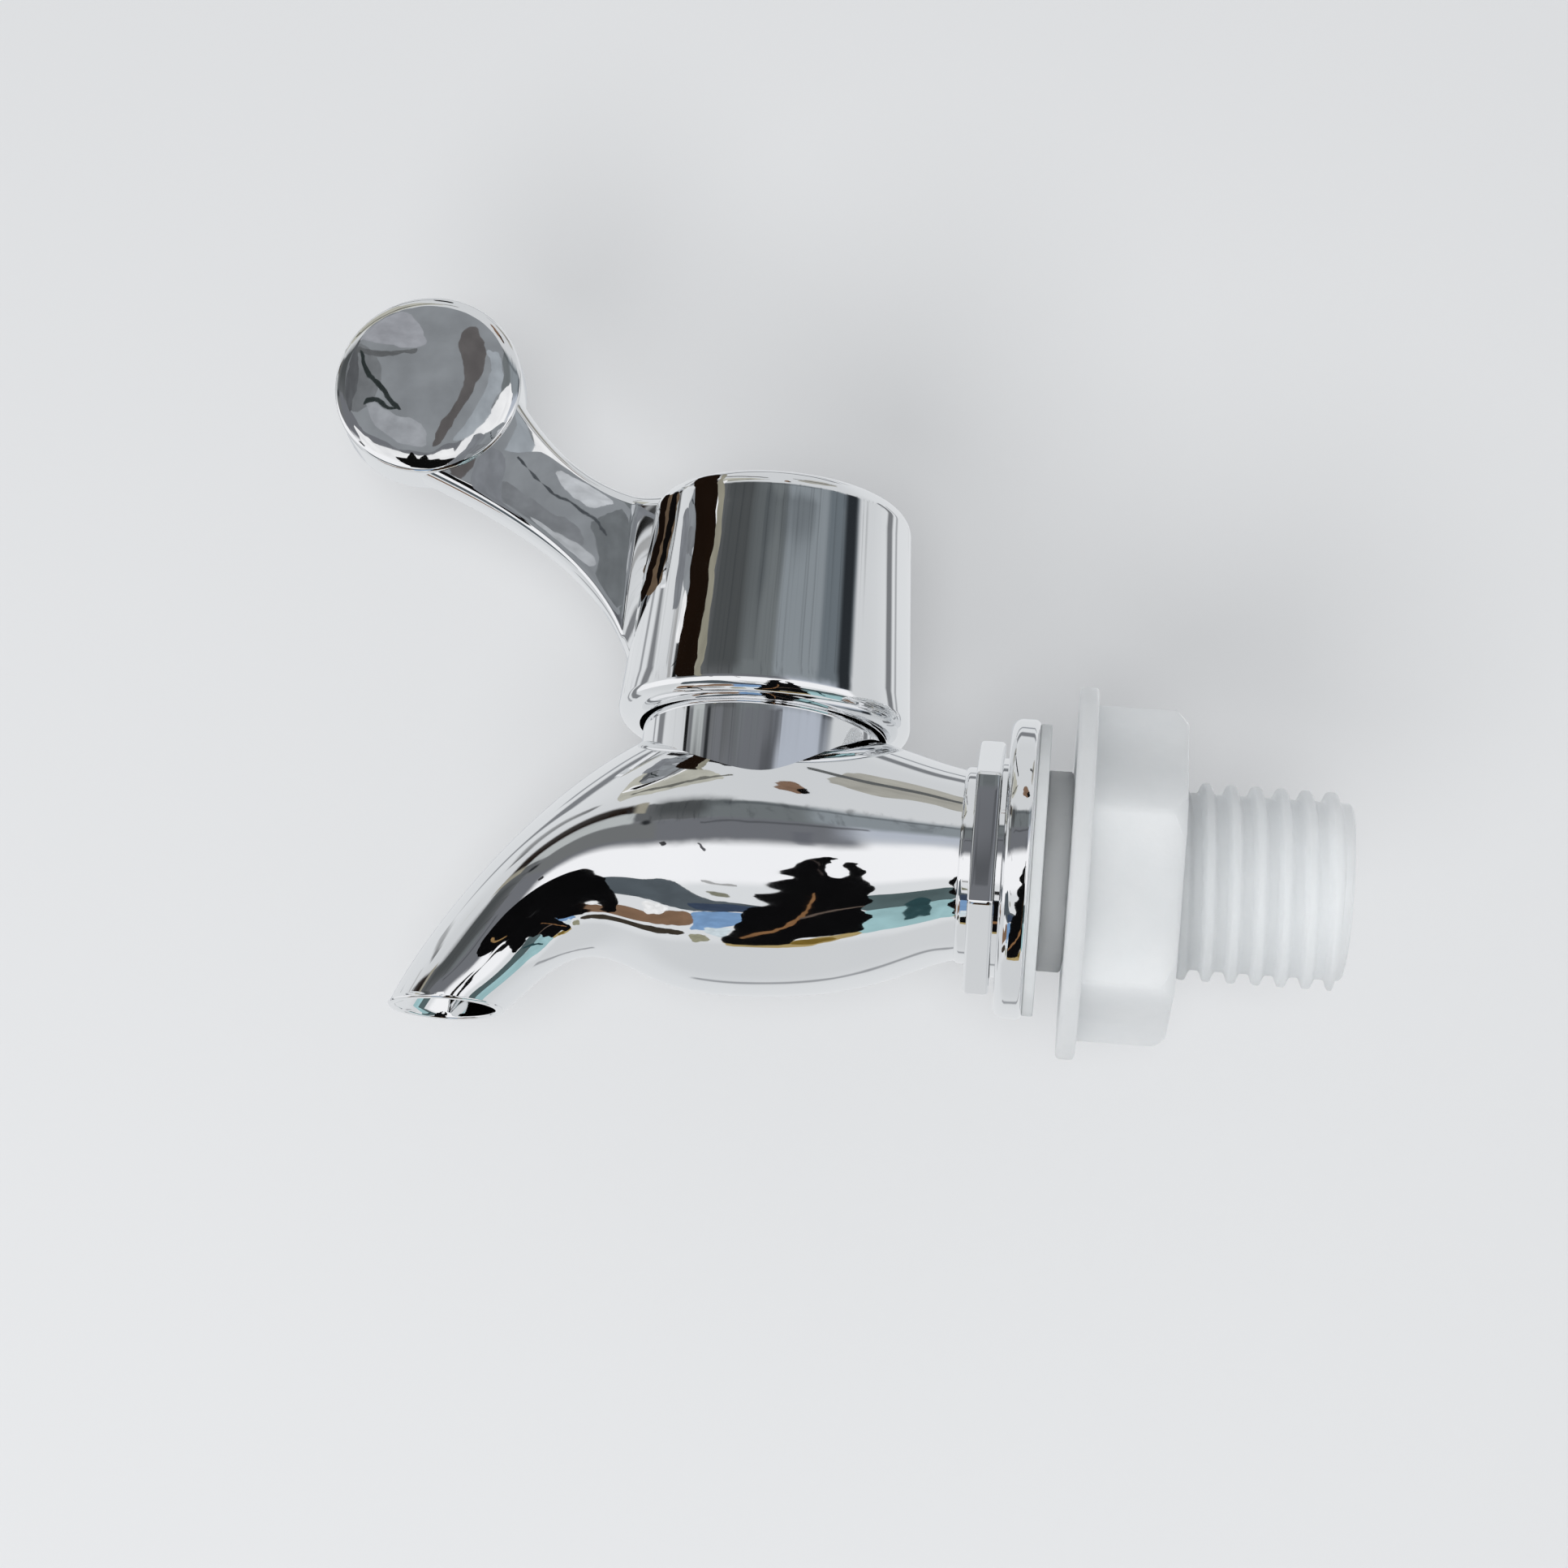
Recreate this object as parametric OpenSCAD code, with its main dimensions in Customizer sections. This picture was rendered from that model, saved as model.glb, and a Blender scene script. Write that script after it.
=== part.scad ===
// Dispenser tap with a quarter-turn lever, a plastic threaded inlet and a lock nut.
// Frame: X runs along the inlet, plus X into the tank, Z is up, the lever rests over the spout.
// The origin is on the inlet axis, on the gasket face that meets the tank wall. Sizes in millimetres.
// Lengths along X in the modules count from the flange face, which lies one gasket behind it.

/* [Inlet end of the body] */
// Radius of the round flange
flange_r = 12.2; // [11.4:0.1:15]
// Thickness of the round flange
flange_t = 2.35; // [1.8:0.05:3.5]
// Hexagon across its flats
hex_af = 18.5; // [17.5:0.1:21]
// Length of the hexagon
hex_len = 2.1; // [1.5:0.1:5]
// Width of the groove between hexagon and flange
groove_w = 0.4; // [0.3:0.05:1]
// Outside radius of the body tube where it leaves the hexagon
tube_r = 7.55; // [7.2:0.05:9]

/* [Body and spout] */
// Distance from the flange face back to the valve axis
valve_x = 22.8; // [21:0.1:30]
// Radius of the neck under the handle cap
neck_r = 9.85; // [9.6:0.05:11.5]
// Height of the belly above the inlet axis
belly_up = 11.2; // [10.5:0.1:14]
// Depth of the belly below the inlet axis
belly_down = 12.0; // [11.2:0.1:15]
// Width of the belly over its depth
belly_girth = 0.92; // [0.88:0.01:1]
// Distance from the valve axis to the middle of the outlet
spout_reach = 23.65; // [21:0.1:34]
// Depth of the outlet rim below the inlet axis
spout_drop = 14.95; // [14:0.1:24]
// Radius of the outlet
outlet_r = 4.65; // [4.2:0.05:6]
// Wall of the spout at its lip
lip_wall = 0.6; // [0.5:0.05:1.2]
// How much lower the outer side of the outlet rim hangs
lip_slope = 0.35; // [0:0.05:1]
// Height of the arch under the spout, below the inlet axis
arch_down = 9.75; // [8.8:0.05:11]

/* [Valve] */
// Radius of the turning spindle barrel
barrel_r = 7.0; // [6.4:0.05:7.3]
// Radius of the cross hole through the barrel
port_r = 3.3; // [2.4:0.1:3.6]
// Radius of the spindle shaft in the gland
shaft_r = 5.4; // [4.6:0.1:5.6]
// Side of the square head that turns the handle
head_side = 7.2; // [5.6:0.1:7.4]
// Turning angle to either side of closed
turn = 90; // [60:5:100]
// Cord radius of the spindle rings
ring_cord = 0.75; // [0.6:0.05:0.9]

/* [Handle] */
// Radius of the cap at its lower rim
cap_low_r = 12.05; // [11.8:0.05:14]
// Radius of the cap just under its top edge
cap_top_r = 10.85; // [10.7:0.05:13]
// Height of the lower rim above the inlet axis
cap_low_z = 9.75; // [9.7:0.05:11.5]
// Height of the cap top above the inlet axis
cap_top_z = 29.6; // [29:0.1:34]
// Rounding of the top edge
cap_round = 1.7; // [0.8:0.1:2.2]
// Height of the rounding at the lower rim
rim_round = 1.9; // [0.8:0.1:2.4]
// Distance from the valve axis to the middle of the disc
disc_out = 31.1; // [28:0.1:40]
// Height of the disc above the inlet axis
disc_z = 38.2; // [35:0.1:44]
// Radius of the disc
disc_r = 8.0; // [6.5:0.1:9]
// Thickness of the disc at its rim
disc_t = 4.4; // [4:0.1:6]
// Rise of the rounded face of the disc
disc_rise = 0.5; // [0.2:0.05:1]
// Thickness of the arm
arm_t = 3.6; // [3:0.1:4.6]

/* [Shank and nut] */
// Outside radius of the shank thread
thread_r = 8.0; // [7.4:0.05:9.7]
// How far the plain collar stands out beyond the thread
collar_step = 0.15; // [0.05:0.05:0.8]
// Length of the shank beyond the flange face
shank_len = 25.3; // [22:0.1:40]
// Inside radius of the shank
shank_bore = 4.9; // [4:0.1:5.6]
// Thickness of the gasket on the flange
gasket_t = 0.9; // [0.6:0.1:2.5]
// Gap between gasket and nut as shown
nut_gap = 2.05; // [1.5:0.05:10]
// Radius of the nut flange
nut_flange_r = 15.1; // [14.3:0.1:19]
// Thickness of the nut flange
nut_flange_t = 1.5; // [1:0.1:3]
// Nut across its flats
nut_af = 24; // [22:0.1:28]
// Whole length of the nut
nut_len = 8.8; // [7:0.1:12]
// Turn of the nut as shown
nut_turn = 8; // [0:1:59]

/* [Hidden] */
$fn = 64;
eps = 0.01;

// clearances between pieces
turn_gap = 0.05;
seat_gap = 0.03;
cap_gap = 0.30;

// place of the flange face
face_x = -gasket_t;

// inlet end, measured back from the flange face
hex_x1 = flange_t + groove_w;
hex_x2 = hex_x1 + hex_len;
socket_r = 6.6;
socket_d = 4.2;
feed_r = 5.4;
feed_end = 12.2;

// valve chamber and neck
chamber_r = barrel_r + turn_gap;
chamber_low = -7.6;
barrel_low = chamber_low + 0.1;
step_z = 11.6;
lug_h = 1.7;
washer_t = 0.6;
gland_z = step_z + 0.1 + lug_h + seat_gap + washer_t + seat_gap;
neck_top = cap_top_z - 9.6;
gland_r = chamber_r + 0.95;
neck_in_r = gland_r + 1.2;
neck_shoulder = cap_low_z + 2.5;
gland_rim_t = 1.2;
head_low = neck_top + gland_rim_t + 0.4;
cap_roof = cap_top_z - 1.7;
head_top = cap_roof - 0.5;
ring_z = [7.2, 9.9];
groove_half = ring_cord + 0.2;

// lug of the spindle and rib of the body that stop the lever
lug_half = 28;
rib_half = 180 - turn - lug_half - 0.5;

// centre line points of the spout
out_x = -valve_x - spout_reach;
belly_x = -valve_x - 1.2;

// handle
rim_in_r = neck_r + cap_gap;

// collar and nut
collar_r = thread_r + collar_step;
nut_x = gasket_t + nut_gap;
nut_r = nut_af / 2 / cos(30);

rings_a = 12;
rings_b = 20;
ring_n = 36;

// Point of a cubic curve through a and d with handles b and c
function curve(a, b, c, d, t) =
    a * pow(1 - t, 3) + b * 3 * t * pow(1 - t, 2) + c * 3 * t * t * (1 - t) + d * pow(t, 3);

// Lines that the upper and lower side of the body follow, u from 0 at the hexagon to 2 at the outlet
function side_up(u) = u < 1
    ? curve([-hex_x2, tube_r], [-hex_x2 - 5.4, tube_r + 0.4],
            [-hex_x2 - 10.4, belly_up - 0.2], [belly_x, belly_up], u)
    : curve([belly_x, belly_up], [belly_x - 13.3, belly_up - 1.5],
            [out_x - outlet_r + 2.8, -spout_drop + 7.3], [out_x - outlet_r, -spout_drop - lip_slope],
            u - 1);
function arch_pt() = [out_x + outlet_r + 6.9, -arch_down];
function side_low(u) = u < 1
    ? curve([-hex_x2, -tube_r], [-hex_x2 - 4.2, -tube_r],
            [-hex_x2 - 7.2, -belly_down], [belly_x, -belly_down], u)
    : u < 1.5
    ? curve([belly_x, -belly_down], [belly_x - 6, -belly_down - 0.3],
            arch_pt() + [3.4, 0], arch_pt(), 2 * (u - 1))
    : curve(arch_pt(), arch_pt() - [2.7, 0],
            [out_x + outlet_r + 2.2, -spout_drop + 2.3], [out_x + outlet_r, -spout_drop],
            2 * (u - 1.5));

// One ring of points round the middle of the two sides; k scales it, side is its width over its depth
function oval(up, low, k, side, n) = [for (i = [0:n - 1])
    let (m = (up + low) / 2, h = (up - low) / 2 * k, a = 360 * i / n)
    [m[0] + h[0] * cos(a), -norm(h) * side * sin(a), m[1] + h[1] * cos(a)]];

// Width over depth of the body's section, narrowest at the belly
function girth(u) = u < 1 ? 1 - (1 - belly_girth) * u * u * (3 - 2 * u)
    : belly_girth + (0.97 - belly_girth) * (u - 1);

// Skin over a stack of rings with n points each
module skin(rings, n) {
    m = len(rings);
    pts = [for (r = rings) each r];
    sides = [for (j = [0:m - 2], i = [0:n - 1], s = [0, 1])
        let (a = j * n + i, b = j * n + (i + 1) % n)
        s == 0 ? [a, b, b + n] : [a, b + n, a + n]];
    polyhedron(pts, concat(sides, [[for (i = [0:n - 1]) n - 1 - i]],
        [[for (i = [0:n - 1]) (m - 1) * n + i]]), convexity = 6);
}

// Solid ring with a round section, about the Z axis
module ring_seal(mid_r, cord) {
    rotate_extrude() translate([mid_r, 0]) circle(r = cord, $fn = 24);
}

// Tube along X from x1 to x2
module tube_x(x1, x2, r_out, r_in) {
    translate([x1, 0, 0]) rotate([0, 90, 0]) difference() {
        cylinder(r = r_out, h = x2 - x1);
        translate([0, 0, -1]) cylinder(r = r_in, h = x2 - x1 + 2);
    }
}

// Rod along X from x1 to x2
module rod_x(x1, x2, r) {
    translate([x1, 0, 0]) rotate([0, 90, 0]) cylinder(r = r, h = x2 - x1);
}

// Sector between two angles about Z
module sector(r, a1, a2, h) {
    rotate([0, 0, a1]) rotate_extrude(angle = a2 - a1) square([r, h]);
}

// Outer form of belly and spout
module spout_form() {
    ua = [for (i = [0:rings_a - 1]) i / rings_a];
    ub = [for (i = [0:rings_b]) 1 + i / rings_b];
    skin([for (u = concat(ua, ub)) oval(side_up(u), side_low(u), 1, girth(u), ring_n)], ring_n);
}

// Water way from the valve chamber to the outlet
function way_k(u) = let (
        h = norm(side_up(u) - side_low(u)) / 2,
        s = (u - 1.1) / 0.9,
        r = port_r + 0.2 + (outlet_r - lip_wall - port_r - 0.2) * s * s * (3 - 2 * s))
    r / h;
module spout_way() {
    us = [for (i = [0:14]) 1.1 + 0.9 * i / 14];
    last = oval(side_up(2), side_low(2), way_k(2), 0.97, 28);
    skin(concat([for (u = us) oval(side_up(u), side_low(u), way_k(u), 0.97, 28)],
        [[for (p = last) p + [-0.45, 0, -1]]]), 28);
}

// Body: spout, belly, neck, hexagon and flange in one moulding
module tap_body() {
    color([0.82, 0.83, 0.85])
    translate([face_x, 0, 0]) difference() {
        union() {
            difference() {
                spout_form();
                spout_way();
            }
            translate([-valve_x, 0, 0]) {
                cylinder(r = neck_r, h = neck_shoulder);
                cylinder(r = neck_in_r, h = neck_top);
            }
            rod_x(-hex_x2 - 0.6, -0.5, tube_r + 0.3);
            hexagon();
            rod_x(-hex_x1 - 0.5, -0.5, hex_af / 2 - 0.35);
            flange();
        }
        rod_x(-socket_d, 1, socket_r);
        rod_x(-valve_x + 2, -socket_d + 1, feed_r);
        translate([-valve_x, 0, 0]) {
            translate([0, 0, chamber_low]) cylinder(r = chamber_r, h = step_z - chamber_low + 1);
            difference() {
                translate([0, 0, step_z]) cylinder(r = gland_r, h = neck_top);
                translate([0, 0, step_z - 1]) difference() {
                    sector(gland_r + 0.5, -rib_half, rib_half, lug_h + 1.1);
                    translate([0, 0, -1]) cylinder(r = chamber_r + 0.1, h = lug_h + 4);
                }
            }
        }
    }
}

// Hexagon with its corners turned off at both ends
module hexagon() {
    big = hex_af / 2 / cos(30);
    intersection() {
        translate([-hex_x2, 0, 0]) rotate([0, 90, 0])
            cylinder(r = big, h = hex_len, $fn = 6);
        rotate([0, -90, 0]) rotate_extrude()
            polygon([[0, hex_x1], [big - 0.55, hex_x1], [big + 0.05, hex_x1 + 0.35],
                [big + 0.05, hex_x2 - 0.35], [big - 0.55, hex_x2], [0, hex_x2]]);
    }
}

// Flange with rounded edges, thinner at its rim
module flange() {
    rotate([0, -90, 0]) rotate_extrude()
        polygon(concat([[socket_r, 0], [flange_r - 0.5, 0]],
            [for (a = [-60:20:60])
                [flange_r - 0.8 + 0.8 * cos(a), flange_t * (0.5 + 0.5 * sin(a) / sin(75))]],
            [[flange_r - 1.6, flange_t], [socket_r, flange_t]]));
}

// Threaded shank, its thread left plain
module inlet_shank() {
    color([0.86, 0.90, 0.92])
    translate([face_x, 0, 0]) difference() {
        rotate([0, 90, 0]) rotate_extrude() polygon([
            [shank_bore, 1.5], [shank_bore, shank_len - 0.4], [shank_bore + 0.4, shank_len],
            [thread_r - 0.9, shank_len], [thread_r - 0.2, shank_len - 0.7],
            [thread_r, shank_len - 2.5], [thread_r, nut_x + 0.15], [collar_r, nut_x - 0.1],
            [collar_r, gasket_t], [collar_r - 0.2, gasket_t], [collar_r - 0.2, 0],
            [socket_r - seat_gap, 0], [socket_r - seat_gap, -socket_d + 0.1],
            [feed_r - seat_gap, -socket_d + 0.1], [feed_r - seat_gap, -feed_end + 0.3],
            [feed_r - 0.35, -feed_end], [port_r + 0.2, -feed_end], [port_r + 0.2, -1.5]]);
        // groove of the shank ring
        translate([-8.6, 0, 0]) tube_x(0, 1.5, feed_r + 1, feed_r - 1.05);
    }
}

// Ring in the groove of the shank
module shank_o_ring() {
    color([0.16, 0.16, 0.17])
    translate([face_x - 7.85, 0, 0]) rotate([0, 90, 0]) ring_seal(feed_r - 0.53, 0.5);
}

// Seal that the shank presses against the barrel
module inlet_seal() {
    color([0.80, 0.82, 0.83])
    translate([face_x, 0, 0]) difference() {
        tube_x(-valve_x + 3, -feed_end - seat_gap, feed_r - 0.05, port_r);
        translate([-valve_x, 0, chamber_low])
            cylinder(r = barrel_r + 0.03, h = step_z - chamber_low);
    }
}

// Flat ring on the flange
module flange_gasket() {
    color([0.62, 0.65, 0.66])
    tube_x(face_x, 0, flange_r - 0.35, collar_r);
}

// Nut with a round flange, its thread left plain
module lock_nut() {
    color([0.88, 0.92, 0.94])
    translate([face_x + nut_x, 0, 0]) rotate([-nut_turn, 0, 0]) difference() {
        union() {
            rotate([0, 90, 0]) rotate_extrude() polygon([
                [thread_r, 0], [nut_flange_r - 0.3, 0], [nut_flange_r, 0.3],
                [nut_flange_r, nut_flange_t - 0.3], [nut_flange_r - 0.3, nut_flange_t],
                [thread_r, nut_flange_t]]);
            intersection() {
                translate([nut_flange_t - 0.5, 0, 0]) rotate([30, 0, 0]) rotate([0, 90, 0])
                    cylinder(r = nut_r, h = nut_len - nut_flange_t + 0.5, $fn = 6);
                rotate([0, 90, 0]) rotate_extrude() polygon([
                    [0, 0], [nut_r + 0.1, 0], [nut_r + 0.1, nut_len - 1.2],
                    [nut_r - 1.1, nut_len], [0, nut_len]]);
            }
        }
        rod_x(-1, nut_len + 1, thread_r + turn_gap);
        // lead-in at both ends
        for (s = [0, 1]) translate([s * nut_len, 0, 0]) mirror([s, 0, 0])
            rotate([0, 90, 0]) translate([0, 0, -eps])
                cylinder(r1 = thread_r + 0.5, r2 = thread_r, h = 0.5 + eps);
    }
}

// Spindle: barrel with a cross hole, stop lug, shaft and square head
module valve_spindle() {
    color([0.93, 0.93, 0.90])
    translate([face_x - valve_x, 0, 0]) difference() {
        union() {
            rotate_extrude() polygon([
                [0, barrel_low], [barrel_r - 0.4, barrel_low], [barrel_r, barrel_low + 0.4],
                [barrel_r, step_z + 0.1 + lug_h], [shaft_r, step_z + 0.1 + lug_h],
                [shaft_r, head_low - 0.4], [shaft_r - 0.4, head_low], [0, head_low]]);
            translate([0, 0, step_z + 0.1])
                sector(gland_r - 0.1, 180 - lug_half, 180 + lug_half, lug_h);
            translate([-head_side / 2, -head_side / 2, head_low - 1])
                cube([head_side, head_side, head_top - head_low + 1]);
        }
        rotate([90, 0, 0]) cylinder(r = port_r, h = 3 * barrel_r, center = true);
        for (z = ring_z) translate([0, 0, z - groove_half]) difference() {
            cylinder(r = barrel_r + 1, h = 2 * groove_half);
            translate([0, 0, -1]) cylinder(r = groove_r(), h = 2 * groove_half + 2);
        }
    }
}
function groove_r() = barrel_r - 2 * ring_cord + 0.05;

// Rings in the two grooves of the barrel
module spindle_ring(z) {
    color([0.13, 0.13, 0.14])
    translate([face_x - valve_x, 0, z])
        ring_seal(groove_r() + ring_cord - 0.01, ring_cord - 0.03);
}
module spindle_o_ring_lower() { spindle_ring(ring_z[0]); }
module spindle_o_ring_upper() { spindle_ring(ring_z[1]); }

// Slip washer between spindle and gland
module slip_washer() {
    color([0.90, 0.88, 0.80])
    translate([face_x - valve_x, 0, gland_z - seat_gap - washer_t]) difference() {
        cylinder(r = gland_r - 0.1, h = washer_t);
        translate([0, 0, -1]) cylinder(r = shaft_r + 0.1, h = washer_t + 2);
    }
}

// Gland that keeps the spindle in the neck
module gland_ring() {
    color([0.91, 0.91, 0.89])
    translate([face_x - valve_x, 0, 0]) difference() {
        rotate_extrude() polygon([
            [shaft_r + turn_gap, gland_z], [gland_r - 0.4, gland_z],
            [gland_r - 0.02, gland_z + 0.4], [gland_r - 0.02, neck_top],
            [neck_in_r - 0.1, neck_top], [neck_in_r - 0.1, neck_top + gland_rim_t - 0.3],
            [neck_in_r - 0.4, neck_top + gland_rim_t], [shaft_r + turn_gap, neck_top + gland_rim_t]]);
        // two notches for the spanner that fits it
        for (s = [-1, 1]) translate([-1.25, s * (neck_in_r - 0.6) - 0.9, neck_top + 0.5])
            cube([2.5, 1.8, 2]);
    }
}

// Outer line of the cap from rim to top
function cap_line() = concat(
    [for (a = [0:15:90])
        [rim_in_r + 0.2 + (cap_low_r - rim_in_r - 0.2) * sin(a),
         cap_low_z + rim_round * (1 - cos(a))]],
    [for (a = [0:15:90])
        [cap_top_r - cap_round + cap_round * cos(a), cap_top_z - 0.15 - cap_round * (1 - sin(a))]],
    [[4, cap_top_z]]);

// Two sides of the arm, u from 0 at the disc to 1 in the cap wall
function arm_up(u) = curve([-disc_out + 5.6, disc_z + 3.2], [-disc_out + 9.9, disc_z - 4.4],
    [-cap_top_r - 5.6, cap_top_z - 0.1], [-cap_top_r + 1.2, cap_top_z - 0.35], u);
function arm_low(u) = curve([-disc_out - 1.8, disc_z - 7.2], [-disc_out + 10.5, disc_z - 11.9],
    [-cap_top_r - 2.0, cap_low_z + 11.25], [-cap_top_r - 0.4, cap_low_z + 3.65], u);
// Half thickness of the arm, with a fillet into the cap
function arm_half(u) = arm_t / 2 + (u < 0.86 ? 0 : 14 * pow(u - 0.86, 1.1));

// Rounded bar section between the two sides
function bar(up, low, half) = let (m = (up + low) / 2, h = (up - low) / 2, l = norm(h), e = h / l,
        r = min(half * 0.62, 1.1), w = half)
    [for (q = [0:3], a = [0:22.5:90])
        let (t = a + 90 * q, sx = (q == 0 || q == 3) ? 1 : -1, sy = q < 2 ? 1 : -1,
            px = sx * (l - r) + r * cos(t), py = sy * (w - r) + r * sin(t))
        [m[0] + e[0] * px, py, m[1] + e[1] * px]];

// Disc at the end of the arm, both faces slightly rounded
function disc_line() = concat([[0, disc_t / 2 + disc_rise]],
    [for (i = [1:6]) let (r = (disc_r - 0.55) * i / 6)
        [r, disc_t / 2 + disc_rise * (1 - i * i / 36)]],
    [for (a = [75:-25:0]) [disc_r - 0.5 + 0.5 * cos(a), disc_t / 2 - 0.5 + 0.45 * sin(a)]]);

// Handle: cap, arm and disc in one moulding
module handle() {
    color([0.84, 0.85, 0.87])
    translate([face_x - valve_x, 0, 0]) difference() {
        union() {
            rotate_extrude() polygon(concat([[0, cap_low_z + 4], [4, cap_low_z + 4]],
                [[rim_in_r - 0.05, cap_low_z + 4], [rim_in_r - 0.05, cap_low_z + 0.1]],
                cap_line(), [[0, cap_top_z + 0.05]]));
            skin([for (i = [0:14]) let (u = i / 14) bar(arm_up(u), arm_low(u), arm_half(u))], 20);
            translate([-disc_out, 0, disc_z]) rotate([90, 0, 0]) rotate_extrude()
                polygon(concat(disc_line(),
                    [for (i = [len(disc_line()) - 1:-1:0])
                        [disc_line()[i][0], -disc_line()[i][1]]]));
        }
        // hollow of the cap with the socket boss left standing
        difference() {
            translate([0, 0, cap_low_z - 1])
                cylinder(r1 = rim_in_r, r2 = cap_top_r - 1.5, h = cap_roof - cap_low_z + 1);
            translate([0, 0, head_low + 0.3]) cylinder(r = head_side / 2 * sqrt(2) + 1.4, h = 20);
        }
        translate([-head_side / 2 - seat_gap, -head_side / 2 - seat_gap, head_low - 2])
            cube([head_side + 2 * seat_gap, head_side + 2 * seat_gap, cap_roof - head_low + 1.9]);
    }
}

tap_body();
inlet_shank();
shank_o_ring();
inlet_seal();
flange_gasket();
lock_nut();
valve_spindle();
spindle_o_ring_lower();
spindle_o_ring_upper();
slip_washer();
gland_ring();
handle();
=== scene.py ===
import math

import bmesh
import bpy
import numpy as np
from mathutils import Matrix, Vector
from mathutils.bvhtree import BVHTree
from mathutils.geometry import delaunay_2d_cdt


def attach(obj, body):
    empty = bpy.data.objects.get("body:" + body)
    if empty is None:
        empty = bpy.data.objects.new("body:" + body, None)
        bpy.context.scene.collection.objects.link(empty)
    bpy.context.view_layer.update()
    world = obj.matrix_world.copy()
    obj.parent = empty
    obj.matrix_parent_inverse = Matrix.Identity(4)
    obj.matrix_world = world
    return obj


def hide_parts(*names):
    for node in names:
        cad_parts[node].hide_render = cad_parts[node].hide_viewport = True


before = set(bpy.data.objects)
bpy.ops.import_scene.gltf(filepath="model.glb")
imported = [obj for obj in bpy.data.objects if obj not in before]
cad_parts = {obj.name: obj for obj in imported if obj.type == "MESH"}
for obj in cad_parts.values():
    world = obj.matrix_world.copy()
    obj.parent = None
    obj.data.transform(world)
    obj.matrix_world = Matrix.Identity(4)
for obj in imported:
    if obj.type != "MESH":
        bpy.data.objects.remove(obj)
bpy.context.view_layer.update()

# Lengths below are millimetres from the flange face, as in the part's source; METRE turns them into the frame
METRE = 0.001
GASKET = 0.9
ORIGIN = np.array([-GASKET, 0.0, 0.0])
VALVE = np.array([-22.8, 0.0, 0.0])

scene = bpy.context.scene


# Camera, fitted to the photograph
def make_camera():
    yaw, pitch, roll = (math.radians(a) for a in (-4.62, 15.48, 5.25))
    distance, target = 266.52, np.array([-21.59, 0.0, 5.75])
    forward = np.array([math.sin(yaw) * math.cos(pitch), math.cos(yaw) * math.cos(pitch), math.sin(pitch)])
    right = np.array([math.cos(yaw), -math.sin(yaw), 0.0])
    up = np.cross(right, forward)
    right_2 = math.cos(roll) * right + math.sin(roll) * up
    up_2 = -math.sin(roll) * right + math.cos(roll) * up
    place = (target - distance * forward) * METRE
    cam = bpy.data.objects.new("camera", bpy.data.cameras.new("camera"))
    scene.collection.objects.link(cam)
    cam.matrix_world = Matrix([[right_2[i], up_2[i], -forward[i], place[i]] for i in range(3)] + [[0, 0, 0, 1]])
    cam.data.sensor_width = 36
    cam.data.lens = 4000 / 1932 * 36
    cam.data.clip_start, cam.data.clip_end = 0.01, 20
    scene.camera = cam
    return cam


camera = make_camera()


# Mesh helpers
def to_mesh(name, points, faces, smooth=True):
    mesh = bpy.data.meshes.new(name)
    mesh.from_pydata([tuple((np.asarray(p) + ORIGIN) * METRE) for p in points], [], [tuple(f) for f in faces])
    mesh.validate()
    if smooth:
        mesh.shade_smooth()
    piece = bpy.data.objects.new(name, mesh)
    scene.collection.objects.link(piece)
    return piece


def ring_skin(name, rings, closed_ends=True, loop=False):
    """Closed solid over a stack of rings with the same number of points; loop joins the last ring to the first."""
    rings = np.asarray(rings)
    m, n = rings.shape[:2]
    faces = []
    for j in range(m if loop else m - 1):
        a, b = j * n, (j + 1) % m * n
        for i in range(n):
            k = (i + 1) % n
            faces.append((a + i, a + k, b + k, b + i))
    if closed_ends and not loop:
        faces.append(tuple(range(n - 1, -1, -1)))
        faces.append(tuple((m - 1) * n + i for i in range(n)))
    piece = to_mesh(name, rings.reshape(-1, 3), faces)
    right_way_out(piece)
    return piece


def right_way_out(piece):
    """Turns every face of a closed mesh outwards."""
    bm = bmesh.new()
    bm.from_mesh(piece.data)
    bmesh.ops.recalc_face_normals(bm, faces=bm.faces)
    if bm.calc_volume(signed=True) < 0:
        bmesh.ops.reverse_faces(bm, faces=bm.faces)
    bm.to_mesh(piece.data)
    bm.free()


def lathe(name, line, axis, centre=(0, 0, 0), steps=128, hollow=False):
    """Solid of revolution. line is (radius, height) from one end to the other; axis is "x", "y" or "z"."""
    line = [p for p in line]
    angles = np.arange(steps) * 2 * math.pi / steps
    rings = []
    for r, h in line:
        c, s = r * np.cos(angles), r * np.sin(angles)
        t = np.full(steps, h)
        rings.append({"x": np.stack([t, c, s], 1), "y": np.stack([s, t, c], 1), "z": np.stack([c, s, t], 1)}[axis])
    rings = np.asarray(rings) + np.asarray(centre)
    return ring_skin(name, rings, loop=hollow)


def arc(cx, cy, r, a1, a2, n, flip=False):
    """Points of an arc from angle a1 to a2 in degrees, n steps; flip swaps the two coordinates."""
    pts = [(cx + r * math.cos(math.radians(a1 + (a2 - a1) * i / n)),
            cy + r * math.sin(math.radians(a1 + (a2 - a1) * i / n))) for i in range(n + 1)]
    return [(y, x) for x, y in pts] if flip else pts


def straight(p, q, n):
    """Points from p to q without the last one."""
    return [(p[0] + (q[0] - p[0]) * i / n, p[1] + (q[1] - p[1]) * i / n) for i in range(n)]


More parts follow.
